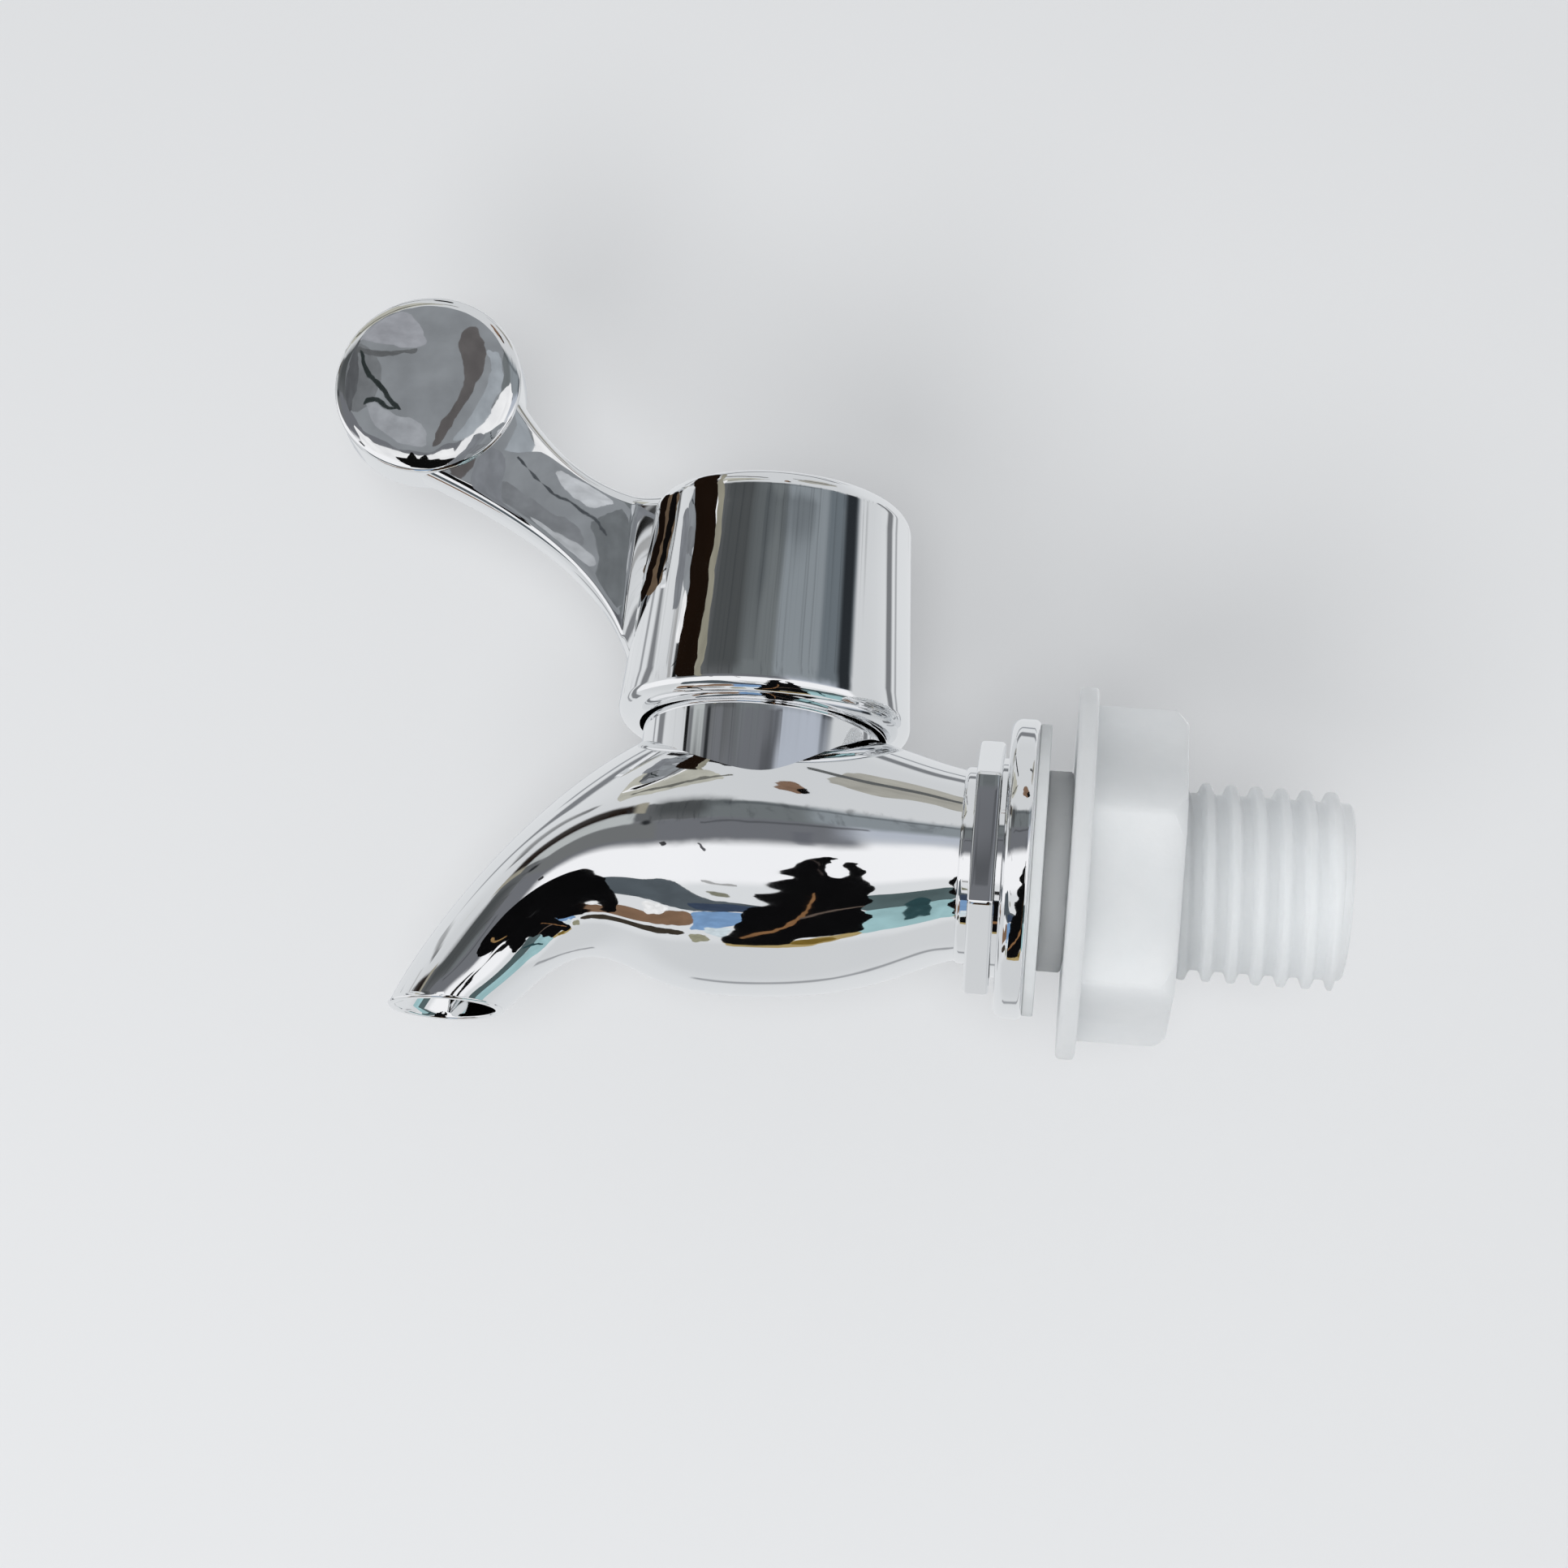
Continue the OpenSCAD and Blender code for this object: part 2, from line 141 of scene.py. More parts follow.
def combine(target, tool, kind):
    """Adds, cuts or keeps the common part of two closed meshes; every face keeps its source as material index."""
    cut = target.modifiers.new("cut", "BOOLEAN")
    cut.operation = kind
    cut.solver = "MANIFOLD"
    cut.material_mode = "TRANSFER"
    cut.object = tool
    apply_modifiers(target)


def apply_modifiers(piece):
    done = bpy.data.meshes.new_from_object(piece.evaluated_get(bpy.context.evaluated_depsgraph_get()))
    piece.modifiers.clear()
    old = piece.data
    piece.data = done
    bpy.data.meshes.remove(old)


def weld(name, adds, cuts, crease=35):
    """One solid out of several. Its shading comes from the smooth sources, so cut edges don't disturb it."""
    sources = list(adds) + list(cuts)
    for i, s in enumerate(sources):
        s.data.materials.clear()
        s.data.materials.append(bpy.data.materials.new(f"src_{i}"))
        s.data.set_sharp_from_angle(angle=math.radians(crease))
    whole = adds[0].copy()
    whole.data = adds[0].data.copy()
    whole.name = whole.data.name = name
    scene.collection.objects.link(whole)
    for s in adds[1:]:
        combine(whole, s, "UNION")
    for s in cuts:
        combine(whole, s, "DIFFERENCE")
    mesh = whole.data
    slots = [int(m.name.split("_")[1].split(".")[0]) for m in mesh.materials]
    looks = []
    for i, s in enumerate(sources):
        sm = s.data
        sm.calc_loop_triangles()
        verts = [v.co.copy() for v in sm.vertices]
        tris = [tuple(t.vertices) for t in sm.loop_triangles]
        loops = [tuple(t.loops) for t in sm.loop_triangles]
        faces = [sm.polygons[t.polygon_index].normal.copy() for t in sm.loop_triangles]
        corner = [Vector(c.vector) for c in sm.corner_normals]
        looks.append((BVHTree.FromPolygons(verts, tris), verts, tris, loops, faces, corner, i >= len(adds)))
    normals = []
    for poly in mesh.polygons:
        tree, verts, tris, loops, faces, corner, flip = looks[slots[poly.material_index]]
        mid = poly.center
        side = -1.0 if flip else 1.0
        for li in poly.loop_indices:
            p = mesh.vertices[mesh.loops[li].vertex_index].co
            q = p + (mid - p) * 0.02
            near, _, index, _ = tree.find_nearest(q)
            if index is None:
                normals.append(poly.normal)
                continue
            a, b, c = (verts[k] for k in tris[index])
            w = barycentric(near, a, b, c)
            n = sum((corner[loops[index][k]] * w[k] for k in range(3)), Vector())
            n = n * side
            normals.append(n.normalized() if n.length > 1e-6 and n.dot(poly.normal) > 0 else poly.normal)
    mesh.shade_smooth()
    mesh.normals_split_custom_set([tuple(n) for n in normals])
    for i in range(len(mesh.polygons)):
        mesh.polygons[i].material_index = 0
    mesh.materials.clear()
    for s in sources:
        old = s.data
        bpy.data.objects.remove(s)
        bpy.data.meshes.remove(old)
    return whole


def barycentric(p, a, b, c):
    v0, v1, v2 = b - a, c - a, p - a
    d00, d01, d11 = v0.dot(v0), v0.dot(v1), v1.dot(v1)
    d20, d21 = v2.dot(v0), v2.dot(v1)
    den = d00 * d11 - d01 * d01
    if abs(den) < 1e-30:
        return 1.0, 0.0, 0.0
    v, w = (d11 * d20 - d01 * d21) / den, (d00 * d21 - d01 * d20) / den
    v, w = min(max(v, 0.0), 1.0), min(max(w, 0.0), 1.0)
    return max(1.0 - v - w, 0.0), v, w


def cubic(a, b, c, d, t):
    a, b, c, d = (np.asarray(p, float) for p in (a, b, c, d))
    return a * (1 - t) ** 3 + b * 3 * t * (1 - t) ** 2 + c * 3 * t * t * (1 - t) + d * t ** 3


def smooth_through(xs, ys, at):
    """Natural cubic spline through (xs, ys), read at the values in at."""
    xs, ys, at = np.asarray(xs, float), np.asarray(ys, float), np.asarray(at, float)
    n = len(xs)
    h = np.diff(xs)
    a = np.zeros((n, n))
    r = np.zeros((n,) + ys.shape[1:])
    a[0, 0] = a[-1, -1] = 1
    for i in range(1, n - 1):
        a[i, i - 1], a[i, i], a[i, i + 1] = h[i - 1], 2 * (h[i - 1] + h[i]), h[i]
        r[i] = 6 * ((ys[i + 1] - ys[i]) / h[i] - (ys[i] - ys[i - 1]) / h[i - 1])
    m = np.linalg.solve(a, r)
    k = np.clip(np.searchsorted(xs, at, side="right") - 1, 0, n - 2)
    d = h[k]
    u, v = xs[k + 1] - at, at - xs[k]
    if ys.ndim > 1:
        d, u, v = d[:, None], u[:, None], v[:, None]
    return (m[k] * u ** 3 + m[k + 1] * v ** 3) / (6 * d) + (ys[k] / d - m[k] * d / 6) * u + (ys[k + 1] / d - m[k + 1] * d / 6) * v


# Sizes of the body, as in the part's source
TUBE_R, HEX_AF, HEX_X1, HEX_X2 = 7.55, 18.5, 2.75, 4.85
FLANGE_R, FLANGE_T = 12.2, 2.35
NECK_R, NECK_SHOULDER, NECK_IN_R, NECK_TOP = 9.85, 12.25, 9.2, 20.0
BELLY_UP, BELLY_DOWN, BELLY_X = 11.2, 12.0, -24.0
OUT_X, OUT_Z, OUT_R, LIP, LIP_SLOPE = -46.45, -14.95, 4.65, 0.6, 0.35
ARCH = np.array([OUT_X + OUT_R + 6.9, -9.75])
CHAMBER_R, CHAMBER_LOW, STEP_Z, GLAND_R = 7.05, -7.6, 11.6, 8.0
SOCKET_R, SOCKET_D, FEED_R, PORT_R = 6.6, 4.2, 5.4, 3.3


def side_up(u):
    if u < 1:
        return cubic((-HEX_X2, TUBE_R), (-HEX_X2 - 5.4, TUBE_R + 0.85), (-HEX_X2 - 10.4, BELLY_UP - 0.2),
                     (BELLY_X, BELLY_UP), u)
    return cubic((BELLY_X, BELLY_UP), (BELLY_X - 13.3, BELLY_UP - 1.5), (OUT_X - OUT_R + 2.8, OUT_Z + 7.3),
                 (OUT_X - OUT_R, OUT_Z - LIP_SLOPE), u - 1)


def side_low(u):
    if u < 1:
        return cubic((-HEX_X2, -TUBE_R), (-HEX_X2 - 4.2, -TUBE_R - 0.7), (-HEX_X2 - 7.2, -BELLY_DOWN),
                     (BELLY_X, -BELLY_DOWN), u)
    if u < 1.5:
        return cubic((BELLY_X, -BELLY_DOWN), (BELLY_X - 6, -BELLY_DOWN - 0.3), ARCH + (3.4, 0), ARCH, 2 * (u - 1))
    return cubic(ARCH, ARCH - (2.7, 0), (OUT_X + OUT_R + 2.2, OUT_Z + 2.3), (OUT_X + OUT_R, OUT_Z), 2 * (u - 1.5))


def girth(u):
    return 1 - 0.08 * u * u * (3 - 2 * u) if u < 1 else 0.92 + 0.05 * (u - 1)


def oval(up, low, k, side, n):
    m, h = (up + low) / 2, (up - low) / 2 * k
    a = np.arange(n) * 2 * math.pi / n
    return np.stack([m[0] + h[0] * np.cos(a), -np.hypot(*h) * side * np.sin(a), m[1] + h[1] * np.cos(a)], 1)


def spout_solid():
    """Belly and spout as one skin, with a rounded lip and the water way turned in."""
    knots = np.concatenate([np.linspace(0, 0.9, 7), np.linspace(1.05, 1.45, 5), np.linspace(1.55, 2.0, 6)])
    us = np.linspace(0, 2, 150)
    ups = smooth_through(knots, [side_up(u) for u in knots], us)
    lows = smooth_through(knots, [side_low(u) for u in knots], us)
    wide = smooth_through(knots, [girth(u) for u in knots], us)
    n = 112
    rings = [oval(ups[i], lows[i], 1, wide[i], n) for i in range(len(us))]
    up, low = ups[-1], lows[-1]
    down = np.array([low[1] - up[1], -(low[0] - up[0])]) / np.hypot(*(low - up))
    if down[1] > 0:
        down = -down
    half = np.hypot(*(up - low)) / 2
    edge = 0.22
    # outer edge, flat of the lip and inner edge
    base = len(rings)
    drop = np.array([down[0], 0, down[1]])
    keep = rings[-1] - drop * edge
    rings[-1] = keep
    for a in (22.5, 45, 67.5, 90):
        c, s = math.cos(math.radians(a)), math.sin(math.radians(a))
        rings.append(oval(up, low, 1 - edge * (1 - c) / half, wide[-1], n) - drop * edge * (1 - s))
    for a in (0, 22.5, 45, 67.5, 90):
        c, s = math.cos(math.radians(a)), math.sin(math.radians(a))
        rings.append(oval(up, low, 1 - (LIP - edge * (1 - s)) / half, wide[-1], n) - drop * edge * (1 - c))
    # water way back to the valve chamber
    vs = np.linspace(1.985, 1.1, 70)
    for v in vs:
        i = np.searchsorted(us, v)
        t = (v - us[i - 1]) / (us[i] - us[i - 1])
        a, b, g = (x[i - 1] + (x[i] - x[i - 1]) * t for x in (ups, lows, wide))
        s = (v - 1.1) / 0.9
        r = PORT_R + 0.2 + (OUT_R - LIP - PORT_R - 0.2) * s * s * (3 - 2 * s)
        rings.append(oval(a, b, r / (np.hypot(*(a - b)) / 2), g, n))
    return ring_skin("spout_skin", rings)


def rounded_hexagon(across, corner, n_corner=6):
    """Outline of a hexagon with rounded corners in the YZ plane, one corner straight up."""
    big = across / 2 / math.cos(math.radians(30))
    pts = []
    for k in range(6):
        a = math.radians(90 + 60 * k)
        reach = big - corner / math.cos(math.radians(30))
        cx, cy = reach * math.cos(a), reach * math.sin(a)
        for i in range(n_corner + 1):
            b = a + math.radians(-30 + 60 * i / n_corner)
            pts.append((cx + corner * math.cos(b), cy + corner * math.sin(b)))
        # points along the flat to the next corner
        a2 = math.radians(90 + 60 * (k + 1))
        p = np.array(pts[-1])
        q = np.array([reach * math.cos(a2) + corner * math.cos(a2 - math.radians(30)),
                      reach * math.sin(a2) + corner * math.sin(a2 - math.radians(30))])
        for i in range(1, 8):
            pts.append(tuple(p + (q - p) * i / 8))
    return np.asarray(pts)


def hex_solid(name, across, x1, x2, corner, edge, turned=None, turn=0.0):
    """Hexagon bar along X with rounded corners and edges; turned, the radius that its corners would be turned to, is
    not used.
    """
    rings = []

    def ring(x, inset, limit=None):
        flat = rounded_hexagon(across - 2 * inset, corner)
        if limit:
            r = np.hypot(flat[:, 0], flat[:, 1])
            flat = flat * np.minimum(1, limit / r)[:, None]
        c, s = math.cos(turn), math.sin(turn)
        y, z = flat[:, 0] * c - flat[:, 1] * s, flat[:, 0] * s + flat[:, 1] * c
        rings.append(np.stack([np.full(len(flat), x), y, z], 1))

    steps = 5
    for i in range(steps + 1):
        a = math.pi / 2 * i / steps
        ring(x1 + edge * (1 - math.sin(a)) , edge * (1 - math.cos(a)) if False else edge * (1 - math.sin(a)), None)
    rings.clear()
    for i in range(steps + 1):
        a = math.pi / 2 * i / steps
        ring(x1 + edge * (1 - math.cos(a)), edge * (1 - math.sin(a)))
    for i in range(1, 6):
        ring(x1 + edge + (x2 - x1 - 2 * edge) * i / 6, 0)
    for i in range(steps + 1):
        a = math.pi / 2 * (1 - i / steps)
        ring(x2 - edge * (1 - math.cos(a)), edge * (1 - math.sin(a)))
    return ring_skin(name, rings)


def rod(name, x1, x2, r, axis="x", centre=(0, 0, 0), steps=128):
    return lathe(name, [(r, x1), (r, x2)], axis, centre, steps)


def body_piece():
    flange = lathe("flange_skin", [(SOCKET_R, -0.0)] + straight((SOCKET_R, 0.0), (FLANGE_R - 0.5, 0.0), 6)[1:]
                   + arc(FLANGE_R - 0.5, -0.5, 0.5, 90, 0, 8)
                   + arc(FLANGE_R - 0.95, -FLANGE_T + 0.95, 0.95, 0, -90, 12)
                   + [(FLANGE_R - 2.4, -FLANGE_T), (SOCKET_R, -FLANGE_T)], "x", hollow=True)
    adds = [
        spout_solid(),
        lathe("neck_skin", [(NECK_R, 0.0), (NECK_R, 3.0), (NECK_R, 6.0), (NECK_R, 9.0), (NECK_R, NECK_SHOULDER - 0.3)]
              + arc(NECK_R - 0.3, NECK_SHOULDER - 0.3, 0.3, 0, 90, 5)[1:]
              + [(NECK_IN_R, NECK_SHOULDER), (NECK_IN_R, NECK_TOP)], "z", VALVE, 192),
        lathe("bead_skin", [(TUBE_R - 1, -HEX_X2 - 1.0)] + arc(-HEX_X2 - 0.5, TUBE_R - 0.05, 0.5, 180, 90, 8, flip=True)
              + [(TUBE_R + 0.45, -0.5)], "x"),
        hex_solid("hex_skin", HEX_AF, -HEX_X2, -HEX_X1, 0.45, 0.35),
        rod("groove_skin", -HEX_X1 - 0.5, -0.5, HEX_AF / 2 - 0.35),
        flange,
    ]
    cuts = [
        rod("socket_cut", -SOCKET_D, 1, SOCKET_R),
        rod("feed_cut", VALVE[0] + 2, -SOCKET_D + 1, FEED_R),
        rod("chamber_cut", CHAMBER_LOW, STEP_Z + 1, CHAMBER_R, "z", VALVE),
        rod("gland_cut", STEP_Z, STEP_Z + NECK_TOP, GLAND_R, "z", VALVE),
    ]
    return weld("body_chromed", adds, cuts)


# Sizes of the handle, as in the part's source
CAP_LOW_R, CAP_TOP_R, CAP_LOW_Z, CAP_TOP_Z, CAP_ROUND, RIM_ROUND, RIM_IN_R = 12.05, 10.85, 9.75, 29.6, 1.7, 1.45, 10.15
CAP_ROOF = CAP_TOP_Z - 1.7
DISC_OUT, DISC_Z, DISC_R, DISC_T, DISC_RISE, ARM_T = 31.1, 38.2, 8.0, 4.4, 0.5, 3.6
HEAD_SIDE, HEAD_LOW = 7.2, 21.6


def arm_up(u):
    return cubic((-DISC_OUT + 5.6, DISC_Z + 3.2), (-DISC_OUT + 9.9, DISC_Z - 4.4), (-CAP_TOP_R - 5.6, CAP_TOP_Z - 0.1),
                 (-CAP_TOP_R + 1.2, CAP_TOP_Z - 0.35), u)


def arm_low(u):
    return cubic((-DISC_OUT - 1.8, DISC_Z - 7.2), (-DISC_OUT + 10.5, DISC_Z - 11.9),
                 (-CAP_TOP_R - 2.0, CAP_LOW_Z + 11.25), (-CAP_TOP_R - 0.4, CAP_LOW_Z + 3.65), u)


def arm_half(u):
    return ARM_T / 2 + (0 if u < 0.86 else 14 * (u - 0.86) ** 1.1)


def bar(up, low, half, n=10):
    """Rounded bar section between the two sides of the arm."""
    m, h = (up + low) / 2, (up - low) / 2
    length = np.hypot(*h)
    e = h / length
    r = min(half * 0.62, 1.1)
    pts = []
    for q in range(4):
        sx, sy = (1 if q in (0, 3) else -1), (1 if q < 2 else -1)
        for i in range(n + 1):
            t = math.radians(90 * q + 90 * i / n)
            pts.append((sx * (length - r) + r * math.cos(t), sy * (half - r) + r * math.sin(t)))
        # points along the side to the next corner
        t = math.radians(90 * (q + 1))
        nx, ny = (1 if (q + 1) % 4 in (0, 3) else -1), (1 if (q + 1) % 4 < 2 else -1)
        end = (nx * (length - r) + r * math.cos(t), ny * (half - r) + r * math.sin(t))
        p = pts[-1]
        for i in range(1, 10):
            pts.append((p[0] + (end[0] - p[0]) * i / 10, p[1] + (end[1] - p[1]) * i / 10))
    pts = np.asarray(pts)
    return np.stack([m[0] + e[0] * pts[:, 0], pts[:, 1], m[1] + e[1] * pts[:, 0]], 1) + VALVE


def handle_piece():
    wall_top = CAP_TOP_Z - CAP_ROUND
    outer = [(4.0, CAP_LOW_Z + 4), (RIM_IN_R, CAP_LOW_Z + 4), (RIM_IN_R, CAP_LOW_Z + 0.2),
             (RIM_IN_R + 0.06, CAP_LOW_Z + 0.06)]
    lip = RIM_IN_R + 0.2
    outer += [(lip + (CAP_LOW_R - lip) * math.sin(math.radians(a)), CAP_LOW_Z + RIM_ROUND * (1 - math.cos(math.radians(a))))
              for a in np.linspace(0, 90, 19)]
    top = [(CAP_TOP_R - CAP_ROUND + CAP_ROUND * math.cos(math.radians(a)),
            CAP_TOP_Z - 0.15 - CAP_ROUND * (1 - math.sin(math.radians(a)))) for a in np.linspace(0, 90, 19)]
    outer += straight(outer[-1], top[0], 12)[1:] + top
    outer += [(6.0, CAP_TOP_Z - 0.06), (3.0, CAP_TOP_Z), (0.3, CAP_TOP_Z + 0.02)]
    cap = lathe("cap_skin", [(0.3, CAP_LOW_Z + 4)] + outer, "z", VALVE, 192)
    us = np.linspace(0, 1, 70)
    arm = ring_skin("arm_skin", [bar(arm_up(u), arm_low(u), arm_half(u)) for u in us])
    face = [(0.12, DISC_T / 2 + DISC_RISE)]
    face += [(r, DISC_T / 2 + DISC_RISE * (1 - (r / (DISC_R - 0.55)) ** 2)) for r in np.linspace(0.6, DISC_R - 0.55, 16)]
    edge = [(DISC_R - 0.5 + 0.5 * math.cos(math.radians(a)), DISC_T / 2 - 0.5 + 0.45 * math.sin(math.radians(a)))
            for a in np.linspace(80, 0, 9)]
    half = face + edge
    disc = lathe("disc_skin", half + [(r, -h) for r, h in reversed(half)], "y", VALVE + (-DISC_OUT, 0, DISC_Z), 160)
    shaft = HEAD_SIDE / 2 + 0.03
    hollow = lathe("hollow_cut", [(RIM_IN_R, CAP_LOW_Z - 1), (CAP_TOP_R - 1.5, CAP_ROOF)], "z", VALVE, 128)
    boss = rod("boss_cut", HEAD_LOW + 0.3, HEAD_LOW + 20, HEAD_SIDE / 2 * math.sqrt(2) + 1.4, "z", VALVE)
    combine(hollow, boss, "DIFFERENCE")
    bpy.data.objects.remove(boss)
    square = [(sx * shaft, sy * shaft) for sx, sy in ((1, 1), (-1, 1), (-1, -1), (1, -1))]
    socket = ring_skin("socket_cut", [[(x + VALVE[0], y, z) for x, y in square] for z in (HEAD_LOW - 2, CAP_ROOF - 0.1)])
    return weld("handle_chromed", [cap, arm, disc], [hollow, socket])


# Thread of shank and nut
def thread_rings(x_from, x_to, core, depth, pitch, fade, inner=False, steps=72, per_pitch=16):
    """Rings of a threaded surface along X; depth is added to core where the thread stands, fade is the run-out length."""
    n = int(round((x_to - x_from) / pitch * per_pitch))
    rings = []
    ang = np.arange(steps) * 2 * math.pi / steps
    for i in range(n + 1):
        x = x_from + (x_to - x_from) * i / n
        phase = (x / pitch - ang / (2 * math.pi)) % 1.0
        rise = thread_shape(phase)
        grow = min(1.0, max(0.0, (x - x_from) / fade[0])) if fade[0] else 1.0
        grow *= min(1.0, max(0.0, (x_to - x) / fade[1])) if fade[1] else 1.0
        r = core + depth * rise * grow
        rings.append(np.stack([np.full(steps, x), r * np.cos(ang), r * np.sin(ang)], 1))
    return rings


def thread_shape(phase):
    """Rounded trapezoid, 0 in the root and 1 at the crest."""
    t = np.abs(phase - 0.5) * 2
    return 1 / (1 + np.exp((t - 0.46) * 16))


THREAD_R, COLLAR_R, SHANK_LEN, SHANK_BORE, PITCH, DEPTH = 8.0, 8.15, 25.3, 4.9, 2.0, 0.85
NUT_X, NUT_FLANGE_R, NUT_FLANGE_T, NUT_AF, NUT_LEN, NUT_TURN = 2.95, 15.1, 1.5, 24.0, 8.8, math.radians(8)
FEED_END = 12.2


def ring_x(x, r, steps):
    ang = np.arange(steps) * 2 * math.pi / steps
    return np.stack([np.full(steps, x), r * np.cos(ang), r * np.sin(ang)], 1)


def shank_piece():
    steps = 144
    seat = 0.03
    line = [(-FEED_END, FEED_R - 0.35), (-FEED_END + 0.3, FEED_R - seat),
            (-8.62, FEED_R - seat), (-8.6, FEED_R - 1.05), (-7.1, FEED_R - 1.05), (-7.08, FEED_R - seat),
            (-SOCKET_D + 0.1, FEED_R - seat), (-SOCKET_D + 0.1, SOCKET_R - seat), (0, SOCKET_R - seat),
            (0, COLLAR_R - 0.2), (GASKET, COLLAR_R - 0.2), (GASKET, COLLAR_R - 0.1), (GASKET + 0.1, COLLAR_R),
            (NUT_X - 0.25, COLLAR_R), (NUT_X - 0.1, COLLAR_R - 0.12), (NUT_X + 0.05, THREAD_R - DEPTH)]
    rings = [ring_x(x, r, steps) for x, r in line]
    rings += thread_rings(NUT_X + 0.1, SHANK_LEN - 0.75, THREAD_R - DEPTH, DEPTH, PITCH, (1.0, 0.0), steps=steps)
    rings += [ring_x(SHANK_LEN - 0.7, THREAD_R - DEPTH, steps), ring_x(SHANK_LEN - 0.2, THREAD_R - DEPTH, steps),
              ring_x(SHANK_LEN, THREAD_R - DEPTH - 0.2, steps), ring_x(SHANK_LEN, SHANK_BORE + 0.4, steps),
              ring_x(SHANK_LEN - 0.15, SHANK_BORE + 0.15, steps), ring_x(SHANK_LEN - 0.4, SHANK_BORE, steps),
              ring_x(12, SHANK_BORE, steps), ring_x(1.5, SHANK_BORE, steps), ring_x(-1.5, PORT_R + 0.2, steps),
              ring_x(-FEED_END, PORT_R + 0.2, steps)]
    piece = ring_skin("shank_threaded", rings, loop=True)
    piece.data.set_sharp_from_angle(angle=math.radians(40))
    return piece


def nut_piece():
    steps = 144
    flange = lathe("nut_flange_skin", [(THREAD_R - 2, 0), (NUT_FLANGE_R - 0.35, 0)] + arc(NUT_FLANGE_R - 0.35, 0.35, 0.35, -90, 0, 5)[1:]
                   + arc(NUT_FLANGE_R - 0.35, NUT_FLANGE_T - 0.35, 0.35, 0, 90, 5) + [(THREAD_R - 2, NUT_FLANGE_T)],
                   "x", (NUT_X, 0, 0))
    big = NUT_AF / 2 / math.cos(math.radians(30))
    hexagon = hex_solid("nut_hex_skin", NUT_AF, NUT_X + NUT_FLANGE_T - 0.5, NUT_X + NUT_LEN, 0.7, 0.35,
                        turn=math.radians(30) - NUT_TURN)
    cone = lathe("nut_cone_skin", [(0.5, NUT_X - 1), (big + 2, NUT_X - 1), (big + 0.1, NUT_X + NUT_LEN - 1.2),
                                   (big - 1.1, NUT_X + NUT_LEN), (0.5, NUT_X + NUT_LEN)], "x")
    rings = [ring_x(NUT_X - 0.5, THREAD_R + 1.1, steps), ring_x(NUT_X + 0.3, THREAD_R + 0.3, steps)]
    rings += thread_rings(NUT_X + 0.35, NUT_X + NUT_LEN - 0.35, THREAD_R + 0.05, DEPTH, PITCH, (0.0, 0.0), steps=steps)
    rings += [ring_x(NUT_X + NUT_LEN - 0.3, THREAD_R + 0.3, steps), ring_x(NUT_X + NUT_LEN + 0.5, THREAD_R + 1.1, steps)]
    combine(hexagon, cone, "INTERSECT")
    bpy.data.objects.remove(cone)
    hexagon.data.materials.clear()
    return weld("nut_threaded", [flange, hexagon], [ring_skin("nut_thread_cut", rings)], crease=30)


def gasket_piece():
    r1, r2, e = COLLAR_R, FLANGE_R - 0.35, 0.12
    line = (arc(r1 + e, e, e, 180, 270, 3) + arc(r2 - e, e, e, 270, 360, 3)
            + arc(r2 - e, GASKET - e, e, 0, 90, 3) + arc(r1 + e, GASKET - e, e, 90, 180, 3))
    piece = lathe("gasket_ring", line, "x", hollow=True)
    piece.data.set_sharp_from_angle(angle=math.radians(40))
    return piece


# Materials
def material(name):
    mat = bpy.data.materials.new(name)
    mat.use_nodes = True
    nodes = mat.node_tree.nodes
    shader = nodes["Principled BSDF"]
    return mat, nodes, mat.node_tree.links, shader


def noise(nodes, links, scale, detail=3.0, rough=0.5):
    coord = nodes.new("ShaderNodeTexCoord")
    tex = nodes.new("ShaderNodeTexNoise")
    tex.inputs["Scale"].default_value = scale
    tex.inputs["Detail"].default_value = detail
    tex.inputs["Roughness"].default_value = rough
    links.new(coord.outputs["Object"], tex.inputs["Vector"])
    return tex


def ramp(nodes, links, source, stops):
    band = nodes.new("ShaderNodeValToRGB")
    links.new(source, band.inputs["Fac"])
    el = band.color_ramp.elements
    while len(el) < len(stops):
        el.new(0.5)
    for e, (pos, col) in zip(el, stops):
        e.position, e.color = pos, (*col, 1)
    return band


def bump(nodes, links, shader, source, strength, distance):
    b = nodes.new("ShaderNodeBump")
    b.inputs["Strength"].default_value = strength
    b.inputs["Distance"].default_value = distance
    links.new(source, b.inputs["Height"])
    links.new(b.outputs["Normal"], shader.inputs["Normal"])


def chrome_look():
    mat, nodes, links, shader = material("chrome_plate")
    shader.inputs["Metallic"].default_value = 1.0
    tint = ramp(nodes, links, noise(nodes, links, 60, 2).outputs["Fac"],
                [(0.3, (0.86, 0.87, 0.88)), (0.7, (0.90, 0.905, 0.91))])
    links.new(tint.outputs["Color"], shader.inputs["Base Color"])
    rough = ramp(nodes, links, noise(nodes, links, 400, 4).outputs["Fac"],
                 [(0.35, (0.02, 0.02, 0.02)), (0.75, (0.05, 0.05, 0.05))])
    links.new(rough.outputs["Color"], shader.inputs["Roughness"])
    bump(nodes, links, shader, noise(nodes, links, 90, 1).outputs["Fac"], 0.12, 0.0004)
    return mat


